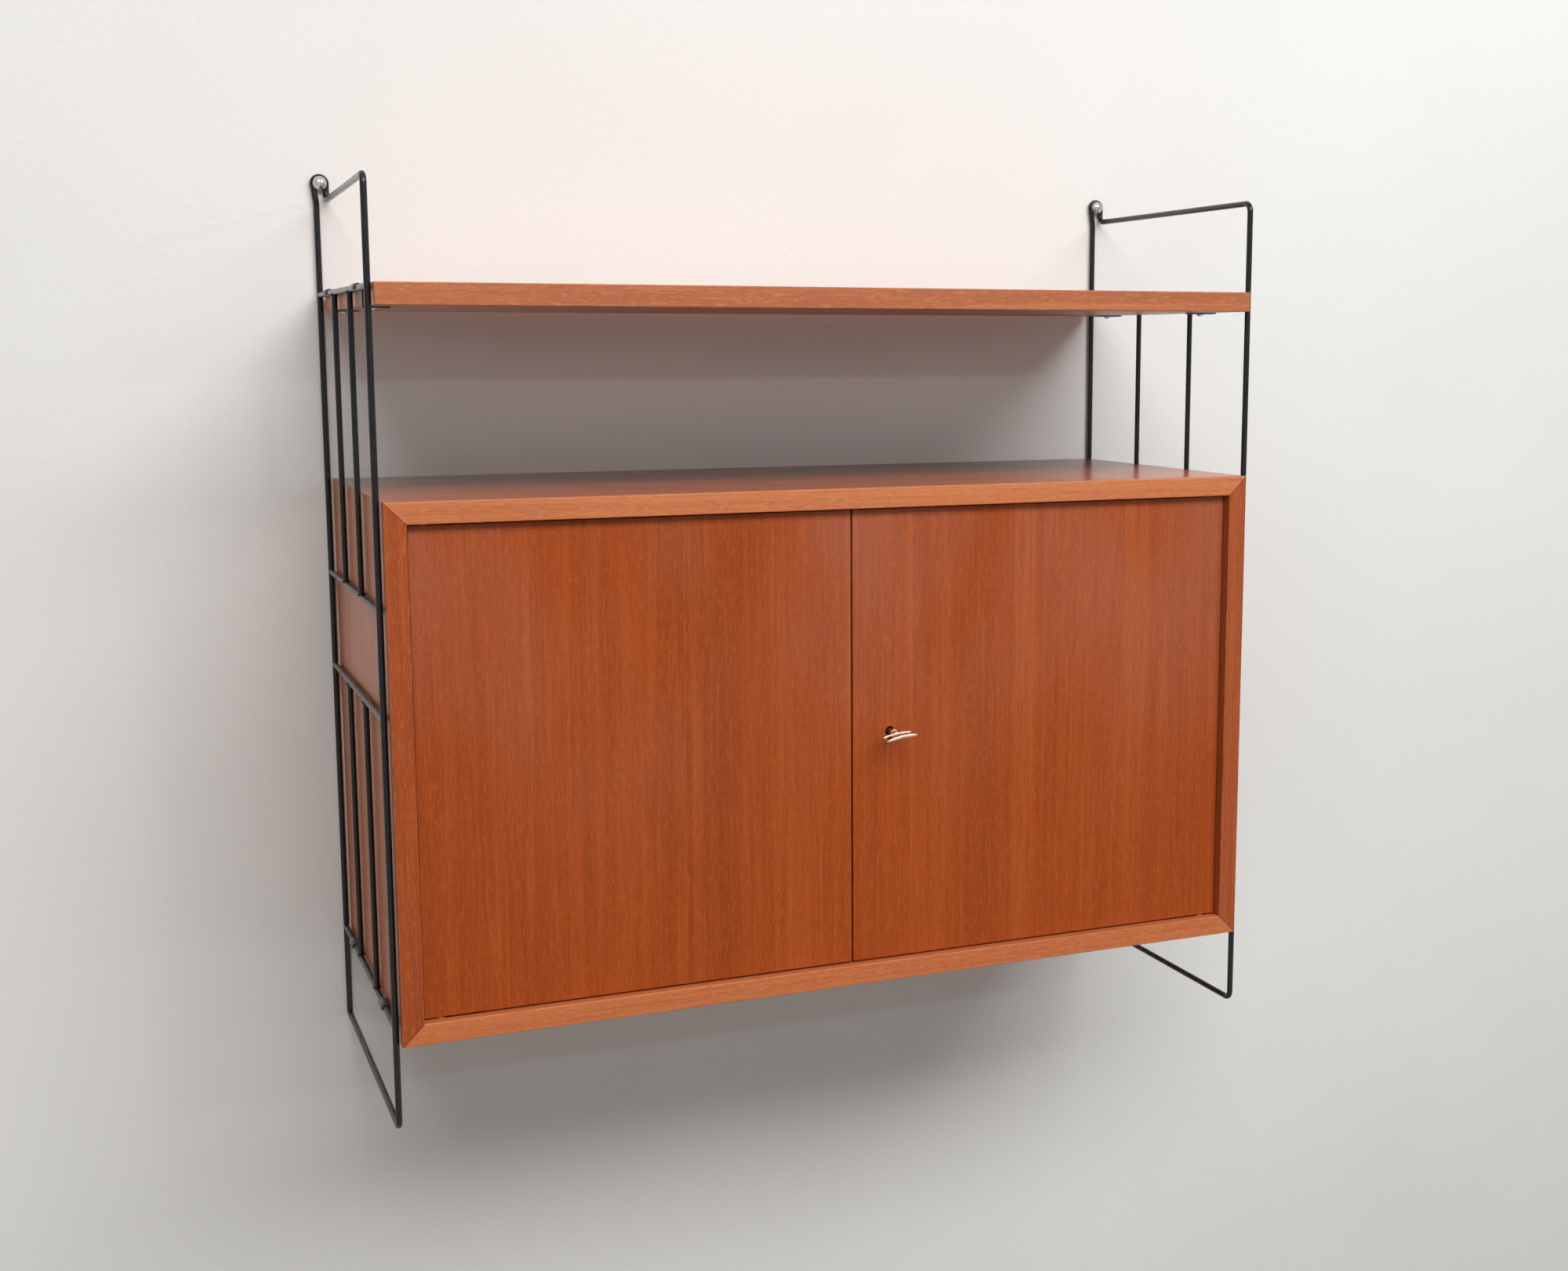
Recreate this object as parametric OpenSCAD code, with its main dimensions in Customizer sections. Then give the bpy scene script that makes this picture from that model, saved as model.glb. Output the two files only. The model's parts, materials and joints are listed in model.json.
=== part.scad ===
/* [Ladders] */
// Thickness of the bent outer wire
wire_d = 5.4; // [4.6:0.1:7]
// How much thinner the rungs are than the outer wire
rung_slim = 0.2; // [0.1:0.1:1]
// How much thinner the short upright rods are than the rungs
rod_slim = 0.2; // [0.1:0.1:2]
// Distance from the back upright to the front upright, centre to centre
ladder_depth = 301; // [260:1:420]
// Distance between the two short upright rods of a panel
rod_spacing = 98; // [60:1:130]
// How far the top bar lies below the wall screws
top_bar_drop = 15; // [14:0.5:24]
// From the top bar down to rung 1
head_gap = 85.5; // [60:0.5:140]
// From rung 1 to rung 2, and from rung 3 to rung 4
panel_gap = 256; // [200:1:320]
// From rung 2 to rung 3
mid_gap = 88; // [50:0.5:140]
// From rung 4 down to the foot bar
foot_gap = 86.5; // [50:0.5:140]
// Clearance between the eye and the wall screw inside it
eye_play = 0.5; // [0.2:0.1:1.2]
// How far the eye's middle stands to the right of the back upright
eye_offset = 3.3; // [3:0.1:4.2]
// Lean of the back upright where it runs into the eye
eye_lean = 8; // [6:0.5:12]
// Bend radius where the back upright starts to lean
lean_bend = 30; // [20:1:50]
// Bend radius from the eye into the top bar
bar_bend = 7; // [5:0.5:9]
// Bend radius at the front end of the top bar
head_bend = 8; // [6:0.5:14]
// Bend radius at the front end of the foot bar
foot_bend = 7; // [6:0.5:14]
// Bend radius at the back end of the foot bar
heel_bend = 4; // [4:0.5:10]

/* [Wall screws] */
// Thickness of a wall screw's threaded part
wall_screw_d = 5; // [4:0.1:6]
// How much thinner the neck of a wall screw is than its threaded part
neck_slim = 0.6; // [0.2:0.1:1]
// How far a wall screw goes into the wall
wall_screw_grip = 45; // [25:1:70]
// Width of the domed head
wall_head_d = 12; // [10:0.5:14]
// Height of the domed head
wall_head_h = 4.2; // [3:0.1:6]

/* [Boards] */
// Length of the shelf and width of the cabinet
board_w = 800; // [600:1:1000]
// Gap between the wall and the back edges of the boards
wall_gap = 7.7; // [6:0.1:12]
// Depth of the shelf
shelf_depth = 306; // [260:1:320]
// Thickness of the shelf
shelf_t = 18; // [14:0.5:24]
// Depth of the cabinet
cab_depth = 307; // [290:1:330]
// Height of the cabinet
cab_h = 446.5; // [380:0.5:500]
// Thickness of the cabinet's boards
cab_t = 18; // [15:0.5:22]
// Size of the eased arrises
arris = 0.9; // [0.4:0.1:1.5]
// Thickness of the back panel
back_t = 5; // [3:0.5:8]
// How far the back panel is let into the boards
back_rebate = 8; // [6:0.5:10]
// Thickness of the inner shelf
inner_t = 16; // [12:0.5:19]
// Space between the front edge of the inner shelf and the lock behind the doors
inner_gap = 27; // [12:1:90]
// Height of the inner shelf above the floor of the cabinet
inner_height = 196; // [80:1:300]
// Thickness of a shelf pin
pin_d = 5; // [4:0.5:7]
// Length of a shelf pin
pin_l = 18; // [14:0.5:20]
// Thickness of a back panel nail
nail_d = 1.6; // [1.2:0.1:2]
// Length of a back panel nail
nail_l = 14; // [10:1:20]
// Width of a nail's head
nail_head_d = 3.6; // [2.6:0.1:5]

/* [Hooks] */
// Thickness of the hook's sheet metal
hook_t = 1.2; // [0.8:0.1:2]
// Width of a hook
hook_w = 20; // [12:0.5:30]
// Length of the arm under the board
hook_arm = 21; // [18:0.5:40]
// Height of the rung's middle above the underside of the board
hook_rise = 14.8; // [12:0.1:16]
// Distance from an upright to the middle of its hook
hook_inset = 60; // [30:1:80]
// Length of the straight lip outside the rung
hook_lip = 1.6; // [0.5:0.1:4]
// Thickness of a hook screw
hook_screw_d = 3.5; // [2.5:0.1:4.5]
// Length of a hook screw inside the board
hook_screw_l = 10; // [8:0.5:13]
// Width of a hook screw's head
hook_head_d = 7; // [5:0.1:9]
// Height of a hook screw's head
hook_head_h = 2.2; // [1.5:0.1:3]

/* [Doors] */
// Thickness of a door
door_t = 16; // [14:0.5:19]
// How far the doors lie behind the front edges
door_recess = 8.5; // [3:0.5:10]
// Gap between a door and the boards round it
door_gap = 1.3; // [1.3:0.1:2.5]
// Gap where the two doors meet
meet_gap = 1.6; // [1.4:0.1:3]
// Gap between a closed door and its stop
stop_gap = 0.4; // [0.3:0.1:1.5]
// Height and depth of a door stop
stop_size = 12; // [8:0.5:16]
// Length of a door stop
stop_l = 44; // [30:1:60]

/* [Hinges] */
// Distance from the door's outer edge to its pivot
pivot_in = 14; // [12:0.5:20]
// Distance from the door's face back to its pivot
pivot_back = 5.5; // [5.1:0.1:6]
// Thickness of a pivot pin
pivot_d = 4; // [3:0.1:4.6]
// Running clearance round a pivot pin
pivot_fit = 0.06; // [0.03:0.01:0.09]
// Thickness of a hinge leaf
leaf_t = 2; // [1.5:0.1:2.5]
// Width of a hinge leaf
leaf_w = 8; // [7:0.1:8.8]
// Length of a hinge leaf past its pivot
leaf_l = 36; // [30:1:50]
// Thickness of a leaf screw
leaf_screw_d = 2.4; // [2:0.1:2.8]
// Length of a leaf screw
leaf_screw_l = 12; // [8:0.5:14]

/* [Lock] */
// Distance from the meeting edge of the right door to the key's axis
backset = 35.5; // [30:0.5:40]
// Height of the key's axis above the middle of the door
key_rise = 5; // [-40:0.5:40]
// Width of the round part of the keyhole
keyhole_d = 8.6; // [7:0.1:10]
// Width of the keyhole's slot
keyhole_slot = 3; // [2.6:0.1:4]
// Length of the lock case
case_l = 60; // [58:1:80]
// Height of the lock case
case_h = 42; // [38:1:60]
// Depth of the lock case
case_d = 11; // [10.5:0.5:16]
// Thickness of the lock case's sheet metal
case_t = 1.2; // [0.8:0.1:1.6]
// Height of each screwing lug above and below the lock case
lug_h = 11; // [9:0.5:16]
// Travel of the lock bolt
bolt_throw = 8; // [5:0.5:8]
// Height of the lock bolt's head
bolt_h = 11; // [8:0.5:14]
// Thickness of the lock bolt's head
bolt_t = 5.5; // [4:0.1:6]
// Clearance round the lock bolt and the slide bolt
slide_fit = 0.3; // [0.2:0.05:0.5]
// Width of the lock's small screws
lock_screw_d = 2.6; // [2:0.1:3]

/* [Key] */
// Thickness of the key's shank
shank_d = 4.6; // [3.8:0.1:5.2]
// Width of the key's collar
collar_d = 6.2; // [5.4:0.1:7]
// How far the bit reaches below the axis
bit_r = 8.5; // [7:0.1:8.8]
// Thickness of the bit
bit_t = 2.2; // [1.6:0.1:2.4]
// Width of the bow
bow_w = 31; // [20:0.5:32]
// Depth of the bow along the axis
bow_l = 16; // [12:0.5:20]
// Distance from the door's face to the bow
bow_out = 14; // [10:0.5:20]
// Thickness of the bow
bow_t = 2.6; // [1.4:0.1:3]
// Radius of the bow's arch
bow_arch = 120; // [60:5:200]
// Width of the bow's rim
bow_rim = 3; // [2:0.1:3.6]
// Turn at which the key was left
key_turn = 8; // [-10:1:10]

/* [Slide bolt] */
// Distance from the meeting edge of the left door to the slide bolt
slide_in = 22; // [18:0.5:40]
// Width of the slide bolt's bar
bar_w = 6; // [4:0.5:8]
// Thickness of the slide bolt's bar
bar_t = 4; // [3:0.5:5]
// Length of the slide bolt's bar
bar_l = 64; // [58:1:90]
// Travel of the slide bolt
bar_travel = 10; // [7:0.5:11]
// How far the drawn bar ends below the edge of the door
bar_sunk = 3; // [2:0.5:5]
// Width of the slide bolt's plate
plate_w = 17; // [15:0.5:22]
// Length of the slide bolt's plate
plate_l = 56; // [50:1:70]
// Thickness of the small plates
plate_t = 1.2; // [0.8:0.1:1.6]
// Length of the knob on the bar
knob_l = 7; // [5:0.5:10]

/* [Hidden] */
$fn = 64;

// The wall is the plane y = 0, the front faces -Y, and z = 0 is the height of the wall screws.
left = -1;
right = 1;
over = 1;
// The wire is a hair thicker in its bends, and each straight run enters the bend by this length
bend_d = wire_d + 0.04;
entry = 0.2;
// The neck of a wall screw ends this far inside the wall
neck_sunk = 0.5;
rung_d = wire_d - rung_slim;
rod_d = rung_d - rod_slim;
eye_bend = wall_screw_d / 2 + eye_play + bend_d / 2;
mid_x = -eye_offset;
ladder_x = board_w / 2 + hook_t + rung_d / 2;
back_y = -bend_d / 2;
front_y = back_y - ladder_depth;
bar_z = -top_bar_drop;
rung_z = [
    bar_z - head_gap,
    bar_z - head_gap - panel_gap,
    bar_z - head_gap - panel_gap - mid_gap,
    bar_z - head_gap - 2 * panel_gap - mid_gap
];
foot_z = rung_z[3] - foot_gap;
rod_y = [
    (back_y + front_y) / 2 + rod_spacing / 2,
    (back_y + front_y) / 2 - rod_spacing / 2
];
hook_y = [back_y - hook_inset, front_y + hook_inset];

// The boards
board_back_y = -wall_gap;
shelf_z = rung_z[0] - hook_rise;
cab_z = rung_z[3] - hook_rise;
cab_top_z = cab_z + cab_h;
cab_front_y = board_back_y - cab_depth;
floor_z = cab_z + cab_t;
ceiling_z = cab_top_z - cab_t;
inner_w = board_w - 2 * cab_t;
inner_z = floor_z + inner_height;
inner_play = 1;
inner_back_y = board_back_y - back_t - inner_play;
nail_head_t = 0.6;

// The doors
door_w = (inner_w - 2 * door_gap - meet_gap) / 2;
door_h = cab_h - 2 * cab_t - 2 * door_gap;
door_z = floor_z + door_gap;
door_top_z = door_z + door_h;
door_y = cab_front_y + door_recess;
door_back_y = door_y + door_t;
pivot_x = inner_w / 2 - door_gap - pivot_in;
pivot_y = door_y + pivot_back;
washer_play = 0.2;
washer_d = pivot_d + 4;
pivot_end_play = 0.2;
leaf_screw_head_d = 2 * leaf_screw_d;
leaf_screw_x = [leaf_l * 0.4, leaf_l * 0.8];

// The lock
key_x = meet_gap / 2 + backset;
key_z = door_z + door_h / 2 + key_rise;
case_x = meet_gap / 2 + 0.5;
case_back_y = door_back_y + case_d;
bolt_y = door_back_y + case_t + 0.9;
tail_t = 2;
tail_h = 2 * bit_r + 8;
tail_end_x = case_x + case_l - case_t - 0.6;
window_r = bit_r + 0.7;
bolt_head_l = 14;
lug_screw_z = case_h / 2 + lug_h / 2;
lock_screw_head_d = lock_screw_d + 1.8 * min(case_t, plate_t);
lock_screw_l = 10;
keeper_x = -meet_gap / 2 - 2.2;
keeper_l = 13;
keeper_h = bolt_h + 7;
keeper_plate_h = keeper_h + 22;
keeper_screw_z = [key_z - keeper_h / 2 - 5.5, key_z + keeper_h / 2 + 5.5];
keeper_d = case_d - 1;
shank_end_y = case_back_y + 0.3;

// The slide bolt
slide_x = -meet_gap / 2 - slide_in;
bar_y = door_back_y + plate_t + slide_fit;
bar_top_z = door_top_z - bar_sunk;
plate_top_z = door_top_z - 6;
guide_h = 9;
guide_t = 1.2;
keeper_plate_l = 30;
keeper_plate_w = 14;
slide_screw_z = [plate_top_z - 16, plate_top_z - plate_l + 14];
slide_screw_x = plate_w / 2 - 2.9;
slide_screw_d = lock_screw_d - 0.4;
slide_screw_head_d = slide_screw_d + 1.8 * plate_t;
slide_screw_l = 9;

// The inner shelf reaches forward to a gap behind the lock
inner_depth = inner_back_y - case_back_y - inner_gap;
pin_y = [inner_back_y - 35, inner_back_y - inner_depth + 35];

function arc(centre, r, from, to, steps) =
    [for (i = [0:steps]) let (a = from + (to - from) * i / steps) centre + r * [cos(a), sin(a)]];

function eased(w, h, r, steps = 4) = concat(
    arc([w - r, h - r], r, 0, 90, steps),
    arc([r, h - r], r, 90, 180, steps),
    arc([r, r], r, 180, 270, steps),
    arc([w - r, r], r, 270, 360, steps)
);

// A flat shape given as [x, y], [y, z] or [x, z] and drawn out along the third axis
module along_z(from, to) {
    translate([0, 0, from]) linear_extrude(to - from) children();
}

module along_x(from, to) {
    translate([from, 0, 0]) rotate([90, 0, 90]) linear_extrude(to - from) children();
}

module along_y(from, to) {
    translate([0, to, 0]) rotate([90, 0, 0]) linear_extrude(to - from) children();
}

module box(low, high) {
    translate(low) cube(high - low);
}

// What is drawn for the right half, on either half of the boards
module on_side(side) {
    translate([mid_x, 0, 0]) {
        if (side == left) mirror([1, 0, 0]) children();
        else children();
    }
}

module on_both_sides() {
    on_side(left) children();
    on_side(right) children();
}

// A flat piece with eased arrises, its front at y = 0 and its middle at x = 0
module eased_panel(w, d, h, r) {
    intersection() {
        along_z(0, h) translate([-w / 2, 0]) polygon(eased(w, d, r));
        along_x(-w / 2, w / 2) polygon(eased(d, h, r));
        along_y(0, d) translate([-w / 2, 0]) polygon(eased(w, h, r));
    }
}

// Screws point along +Z and their heads end at z = 0
module pan_screw(head_d, head_h, d, l) {
    rim = head_h / 4;
    dome = head_h - rim;
    dome_r = (head_d * head_d / 4 + dome * dome) / (2 * dome);
    difference() {
        intersection() {
            translate([0, 0, dome_r - head_h]) sphere(dome_r);
            translate([0, 0, -head_h]) cylinder(d = head_d, h = head_h);
        }
        box([-head_d, -head_h / 8, -head_h - over], [head_d, head_h / 8, -head_h * 0.55]);
    }
    cylinder(d = d, h = l);
}

module sunk_screw(head_d, d, l) {
    head_h = (head_d - d) / 2;
    difference() {
        cylinder(d1 = head_d, d2 = d, h = head_h);
        box([-head_d, -d / 8, -over], [head_d, d / 8, head_h / 2]);
    }
    translate([0, 0, head_h]) cylinder(d = d, h = l - head_h);
}

module sunk_hole(head_d, d, depth) {
    translate([0, 0, -over]) cylinder(d = d, h = depth + over);
    cylinder(d1 = head_d, d2 = d, h = (head_d - d) / 2);
    translate([0, 0, -over]) cylinder(d = head_d, h = over);
}

// One bend of the wire, in the plane of x and y, round the origin
module bend(r, from, sweep) {
    rotate([0, 0, from]) rotate_extrude(angle = sweep) translate([r, 0]) circle(d = bend_d);
}

// One straight run of the wire, from the origin along +Z, with its ends inside the bends
module run(l) {
    translate([0, 0, -entry]) cylinder(d = wire_d, h = l + 2 * entry);
}

// The back upright leans out, loops over the screw and drops into the top bar
module wire_eye() {
    lean_x = -lean_bend * (1 - cos(eye_lean));
    lean_l = (lean_x - eye_offset + eye_bend * cos(eye_lean)) / sin(eye_lean);
    lean_z = -eye_bend * sin(eye_lean) - lean_l * cos(eye_lean) - lean_bend * sin(eye_lean);
    translate([0, back_y, 0]) {
        translate([0, 0, foot_z + heel_bend]) run(lean_z - foot_z - heel_bend);
        translate([-lean_bend, 0, lean_z]) rotate([90, 0, 0]) bend(lean_bend, 0, eye_lean);
        translate([lean_x, 0, lean_z + lean_bend * sin(eye_lean)]) rotate([0, -eye_lean, 0]) run(lean_l);
        translate([eye_offset, 0, 0]) rotate([90, 0, 0]) bend(eye_bend, 0, 180 + eye_lean);
        translate([eye_offset + eye_bend, 0, bar_z + bar_bend]) run(-bar_z - bar_bend);
    }
}

// The top bar runs from the eye to the head of the front upright, a little out of square
module wire_top_bar() {
    limb_x = eye_offset + eye_bend;
    bar_l = norm([limb_x, ladder_depth]);
    translate([limb_x, back_y, bar_z]) rotate([0, 0, -atan(limb_x / ladder_depth)]) {
        translate([0, -bar_bend, bar_bend]) rotate([90, 0, 90]) bend(bar_bend, -90, 90);
        translate([0, -bar_bend, 0]) rotate([90, 0, 0]) run(bar_l - bar_bend - head_bend);
        translate([0, head_bend - bar_l, -head_bend]) rotate([90, 0, 90]) bend(head_bend, 90, 90);
    }
}

// The outer wire of a ladder, bent from one length
module ladder_wire() {
    wire_eye();
    wire_top_bar();
    translate([0, front_y, foot_z + foot_bend]) run(bar_z - head_bend - foot_z - foot_bend);
    translate([0, front_y + foot_bend, foot_z + foot_bend]) rotate([90, 0, 90]) bend(foot_bend, 180, 90);
    translate([0, back_y - heel_bend, foot_z]) rotate([90, 0, 0]) run(ladder_depth - foot_bend - heel_bend);
    translate([0, back_y - heel_bend, foot_z + heel_bend]) rotate([90, 0, 90]) bend(heel_bend, -90, 90);
}

// Four rungs, hollowed at their ends to fit the uprights
module ladder_rungs() {
    for (z = rung_z) difference() {
        translate([0, back_y, z]) rotate([90, 0, 0]) cylinder(d = rung_d, h = ladder_depth);
        for (y = [back_y, front_y]) translate([0, y, z - wire_d]) cylinder(d = wire_d, h = 2 * wire_d);
    }
}

// Two thin rods in the upper panel and two in the lower one, hollowed to fit the rungs
module ladder_rods() {
    for (y = rod_y, i = [1, 3]) difference() {
        translate([0, y, rung_z[i]]) cylinder(d = rod_d, h = panel_gap);
        for (z = [rung_z[i], rung_z[i - 1]])
            translate([0, y + rung_d, z]) rotate([90, 0, 0]) cylinder(d = rung_d, h = 2 * rung_d);
    }
}

module at_ladder(side) {
    translate([mid_x + side * ladder_x, 0, 0]) children();
}

module left_ladder_wire() {
    color([0.09, 0.09, 0.1]) at_ladder(left) ladder_wire();
}

module left_ladder_rungs() {
    color([0.12, 0.12, 0.13]) at_ladder(left) ladder_rungs();
}

module left_ladder_rods() {
    color([0.15, 0.15, 0.16]) at_ladder(left) ladder_rods();
}

module right_ladder_wire() {
    color([0.09, 0.09, 0.1]) at_ladder(right) ladder_wire();
}

module right_ladder_rungs() {
    color([0.12, 0.12, 0.13]) at_ladder(right) ladder_rungs();
}

module right_ladder_rods() {
    color([0.15, 0.15, 0.16]) at_ladder(right) ladder_rods();
}

// A domed screw with a cross recess through each eye
module wall_screws() {
    rim = wall_head_h / 5;
    dome = wall_head_h - rim;
    dome_r = (wall_head_d * wall_head_d / 4 + dome * dome) / (2 * dome);
    recess = [wall_head_d * 0.28, wall_head_d * 0.05, -wall_head_h * 0.35];
    color([0.8, 0.8, 0.82]) for (side = [left, right])
        translate([side * ladder_x, -bend_d, 0]) rotate([-90, 0, 0]) {
            difference() {
                intersection() {
                    translate([0, 0, dome_r - wall_head_h]) sphere(dome_r);
                    translate([0, 0, -wall_head_h]) cylinder(d = wall_head_d, h = wall_head_h);
                }
                for (turn = [15, 105]) rotate([0, 0, turn])
                    box([-recess[0], -recess[1], -wall_head_h - over], recess);
            }
            cylinder(d = wall_screw_d - neck_slim, h = bend_d + wall_screw_grip);
            translate([0, 0, bend_d + neck_sunk]) cylinder(d = wall_screw_d, h = wall_screw_grip - neck_sunk);
        }
}

// Pilot holes for the hook screws, drilled up from the underside of a board
module hook_pilots(z) {
    for (y = hook_y) translate([board_w / 2 - hook_arm / 2, y, z - over])
        cylinder(d = hook_screw_d, h = hook_screw_l + over);
}

module shelf() {
    color([0.72, 0.42, 0.26]) difference() {
        translate([mid_x, board_back_y - shelf_depth, shelf_z])
            eased_panel(board_w, shelf_depth, shelf_t, arris);
        on_both_sides() hook_pilots(shelf_z);
    }
}

// A strip screwed under the board, folded up its end and curled over the rung
module hook_profile() {
    centre = [hook_t + rung_d / 2, hook_rise];
    translate([-hook_arm, -hook_t]) square([hook_arm, hook_t]);
    intersection() {
        circle(r = hook_t);
        translate([0, -hook_t]) square(hook_t);
    }
    square([hook_t, hook_rise]);
    difference() {
        translate(centre) circle(d = rung_d + 2 * hook_t);
        translate(centre) circle(d = rung_d);
        translate([-rung_d, hook_rise - 2 * rung_d]) square([4 * rung_d, 2 * rung_d]);
    }
    translate([hook_t + rung_d, hook_rise - hook_lip]) square([hook_t, hook_lip]);
}

module hooks(z) {
    for (y = hook_y) difference() {
        translate([board_w / 2, 0, z]) along_y(y - hook_w / 2, y + hook_w / 2) hook_profile();
        translate([board_w / 2 - hook_arm / 2, y, z - hook_t - over])
            cylinder(d = hook_screw_d, h = hook_t + 2 * over);
    }
}

module hook_screws(z) {
    for (y = hook_y) translate([board_w / 2 - hook_arm / 2, y, z - hook_t])
        pan_screw(hook_head_d, hook_head_h, hook_screw_d, hook_t + hook_screw_l);
}

module shelf_hooks() {
    color([0.16, 0.16, 0.17]) on_both_sides() hooks(shelf_z);
}

module shelf_hook_screws() {
    color([0.75, 0.75, 0.74]) on_both_sides() hook_screws(shelf_z);
}

module cabinet_hooks() {
    color([0.16, 0.16, 0.17]) on_both_sides() hooks(cab_z);
}

module cabinet_hook_screws() {
    color([0.75, 0.75, 0.74]) on_both_sides() hook_screws(cab_z);
}

// The outline of the back panel, also cut from the boards as its rebate
module back_outline() {
    w = inner_w + 2 * back_rebate;
    translate([-w / 2, floor_z - back_rebate]) square([w, ceiling_z - floor_z + 2 * back_rebate]);
}

module back_rebate_cut() {
    along_y(board_back_y - back_t, board_back_y + over) back_outline();
}

// Nails round the edge of the back panel, as [x, z] in the right half
function nail_places() =
    let (x = (inner_w + back_rebate) / 2)
    let (low = floor_z - back_rebate / 2, high = ceiling_z + back_rebate / 2)
    concat(
        [for (i = [0:3]) [x * (i + 0.5) / 4, low]],
        [for (i = [0:3]) [x * (i + 0.5) / 4, high]],
        [for (i = [1:4]) [x, low + (high - low) * i / 5]]
    );

module nail_holes() {
    for (p = nail_places()) translate([p[0], board_back_y + over, p[1]])
        rotate([90, 0, 0]) cylinder(d = nail_d, h = nail_l + over);
}

// The outlines that mitre the four boards, seen from the front
module mitre_top() {
    polygon([
        [-board_w / 2, cab_top_z], [board_w / 2, cab_top_z],
        [board_w / 2 - cab_t, ceiling_z], [cab_t - board_w / 2, ceiling_z]
    ]);
}

module mitre_bottom() {
    polygon([
        [-board_w / 2, cab_z], [cab_t - board_w / 2, floor_z],
        [board_w / 2 - cab_t, floor_z], [board_w / 2, cab_z]
    ]);
}

module mitre_side() {
    polygon([
        [board_w / 2, cab_z], [board_w / 2, cab_top_z],
        [board_w / 2 - cab_t, ceiling_z], [board_w / 2 - cab_t, floor_z]
    ]);
}

// A hinge leaf seen from above, its pivot at the origin and its tail towards -X
module leaf_outline() {
    end_r = leaf_w / 2;
    polygon(concat(
        arc([0, 0], end_r, -90, 90, 16),
        [[-leaf_l, end_r], [-leaf_l, -end_r]]
    ));
}

module leaf_recess(from, to) {
    translate([pivot_x, pivot_y, 0]) along_z(from, to) leaf_outline();
}

module leaf_pilots(z, up) {
    for (x = leaf_screw_x) translate([pivot_x - x, pivot_y, z]) mirror([0, 0, up ? 0 : 1])
        cylinder(d = leaf_screw_d, h = leaf_screw_l);
}

module horizontal_board(z) {
    along_x(-board_w / 2, board_w / 2) translate([cab_front_y, z]) polygon(eased(cab_depth, cab_t, arris));
}

module cabinet_top() {
    color([0.66, 0.37, 0.22]) difference() {
        translate([mid_x, 0, 0]) intersection() {
            horizontal_board(ceiling_z);
            along_y(cab_front_y, board_back_y) mitre_top();
        }
        translate([mid_x, 0, 0]) back_rebate_cut();
        on_both_sides() {
            nail_holes();
            leaf_recess(ceiling_z - over, ceiling_z + leaf_t);
            leaf_pilots(ceiling_z, true);
        }
        translate([mid_x, 0, 0]) {
            slide_keeper_plate(-over);
            slide_keeper_hole(ceiling_z, ceiling_z + bar_travel);
        }
    }
}

module cabinet_bottom() {
    color([0.66, 0.37, 0.22]) difference() {
        translate([mid_x, 0, 0]) intersection() {
            horizontal_board(cab_z);
            along_y(cab_front_y, board_back_y) mitre_bottom();
        }
        translate([mid_x, 0, 0]) back_rebate_cut();
        on_both_sides() {
            nail_holes();
            hook_pilots(cab_z);
            leaf_recess(floor_z - leaf_t, floor_z + over);
            leaf_pilots(floor_z, false);
        }
    }
}

// A shelf pin sits half in the side and half under the inner shelf
module pins() {
    for (y = pin_y) translate([inner_w / 2 - pin_l / 2, y, inner_z - pin_d / 2])
        rotate([0, 90, 0]) cylinder(d = pin_d, h = pin_l);
}

module cabinet_side() {
    difference() {
        intersection() {
            along_z(cab_z, cab_top_z) translate([board_w / 2 - cab_t, cab_front_y])
                polygon(eased(cab_t, cab_depth, arris));
            along_y(cab_front_y, board_back_y) mitre_side();
        }
        back_rebate_cut();
        nail_holes();
        hook_pilots(cab_z);
        pins();
    }
}

module cabinet_left_side() {
    color([0.6, 0.33, 0.2]) on_side(left) cabinet_side();
}

module cabinet_right_side() {
    color([0.6, 0.33, 0.2]) on_side(right) cabinet_side();
}

module back_panel() {
    color([0.78, 0.6, 0.42]) difference() {
        translate([mid_x, 0, 0]) along_y(board_back_y - back_t, board_back_y) back_outline();
        on_both_sides() nail_holes();
    }
}

module back_panel_nails() {
    color([0.55, 0.55, 0.55]) on_both_sides() for (p = nail_places()) translate([p[0], board_back_y, p[1]]) {
        rotate([90, 0, 0]) cylinder(d = nail_d, h = nail_l);
        rotate([-90, 0, 0]) cylinder(d = nail_head_d, h = nail_head_t);
    }
}

module inner_shelf() {
    color([0.7, 0.46, 0.3]) translate([mid_x, inner_back_y - inner_depth, inner_z])
        eased_panel(inner_w - 2 * inner_play, inner_depth, inner_t, arris);
}

module shelf_pins() {
    color([0.7, 0.7, 0.68]) on_both_sides() pins();
}

// One stop under the top board behind the right door, one on the floor behind both doors
module door_stops() {
    y = door_back_y + stop_gap;
    color([0.62, 0.36, 0.22]) translate([mid_x, y, 0]) {
        translate([0, 0, floor_z]) eased_panel(stop_l, stop_size, stop_size, arris);
        translate([meet_gap + stop_l / 2 + slide_fit, 0, ceiling_z - stop_size])
            eased_panel(stop_l, stop_size, stop_size, arris);
    }
}

// A leaf with its bore and two sunk holes that open towards +Z
module leaf(bore_d) {
    difference() {
        along_z(0, leaf_t) leaf_outline();
        translate([0, 0, -over]) cylinder(d = bore_d, h = leaf_t + 2 * over);
        for (x = leaf_screw_x) translate([-x, 0, leaf_t]) mirror([0, 0, 1])
            sunk_hole(leaf_screw_head_d, leaf_screw_d, leaf_t + over);
    }
}

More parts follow.
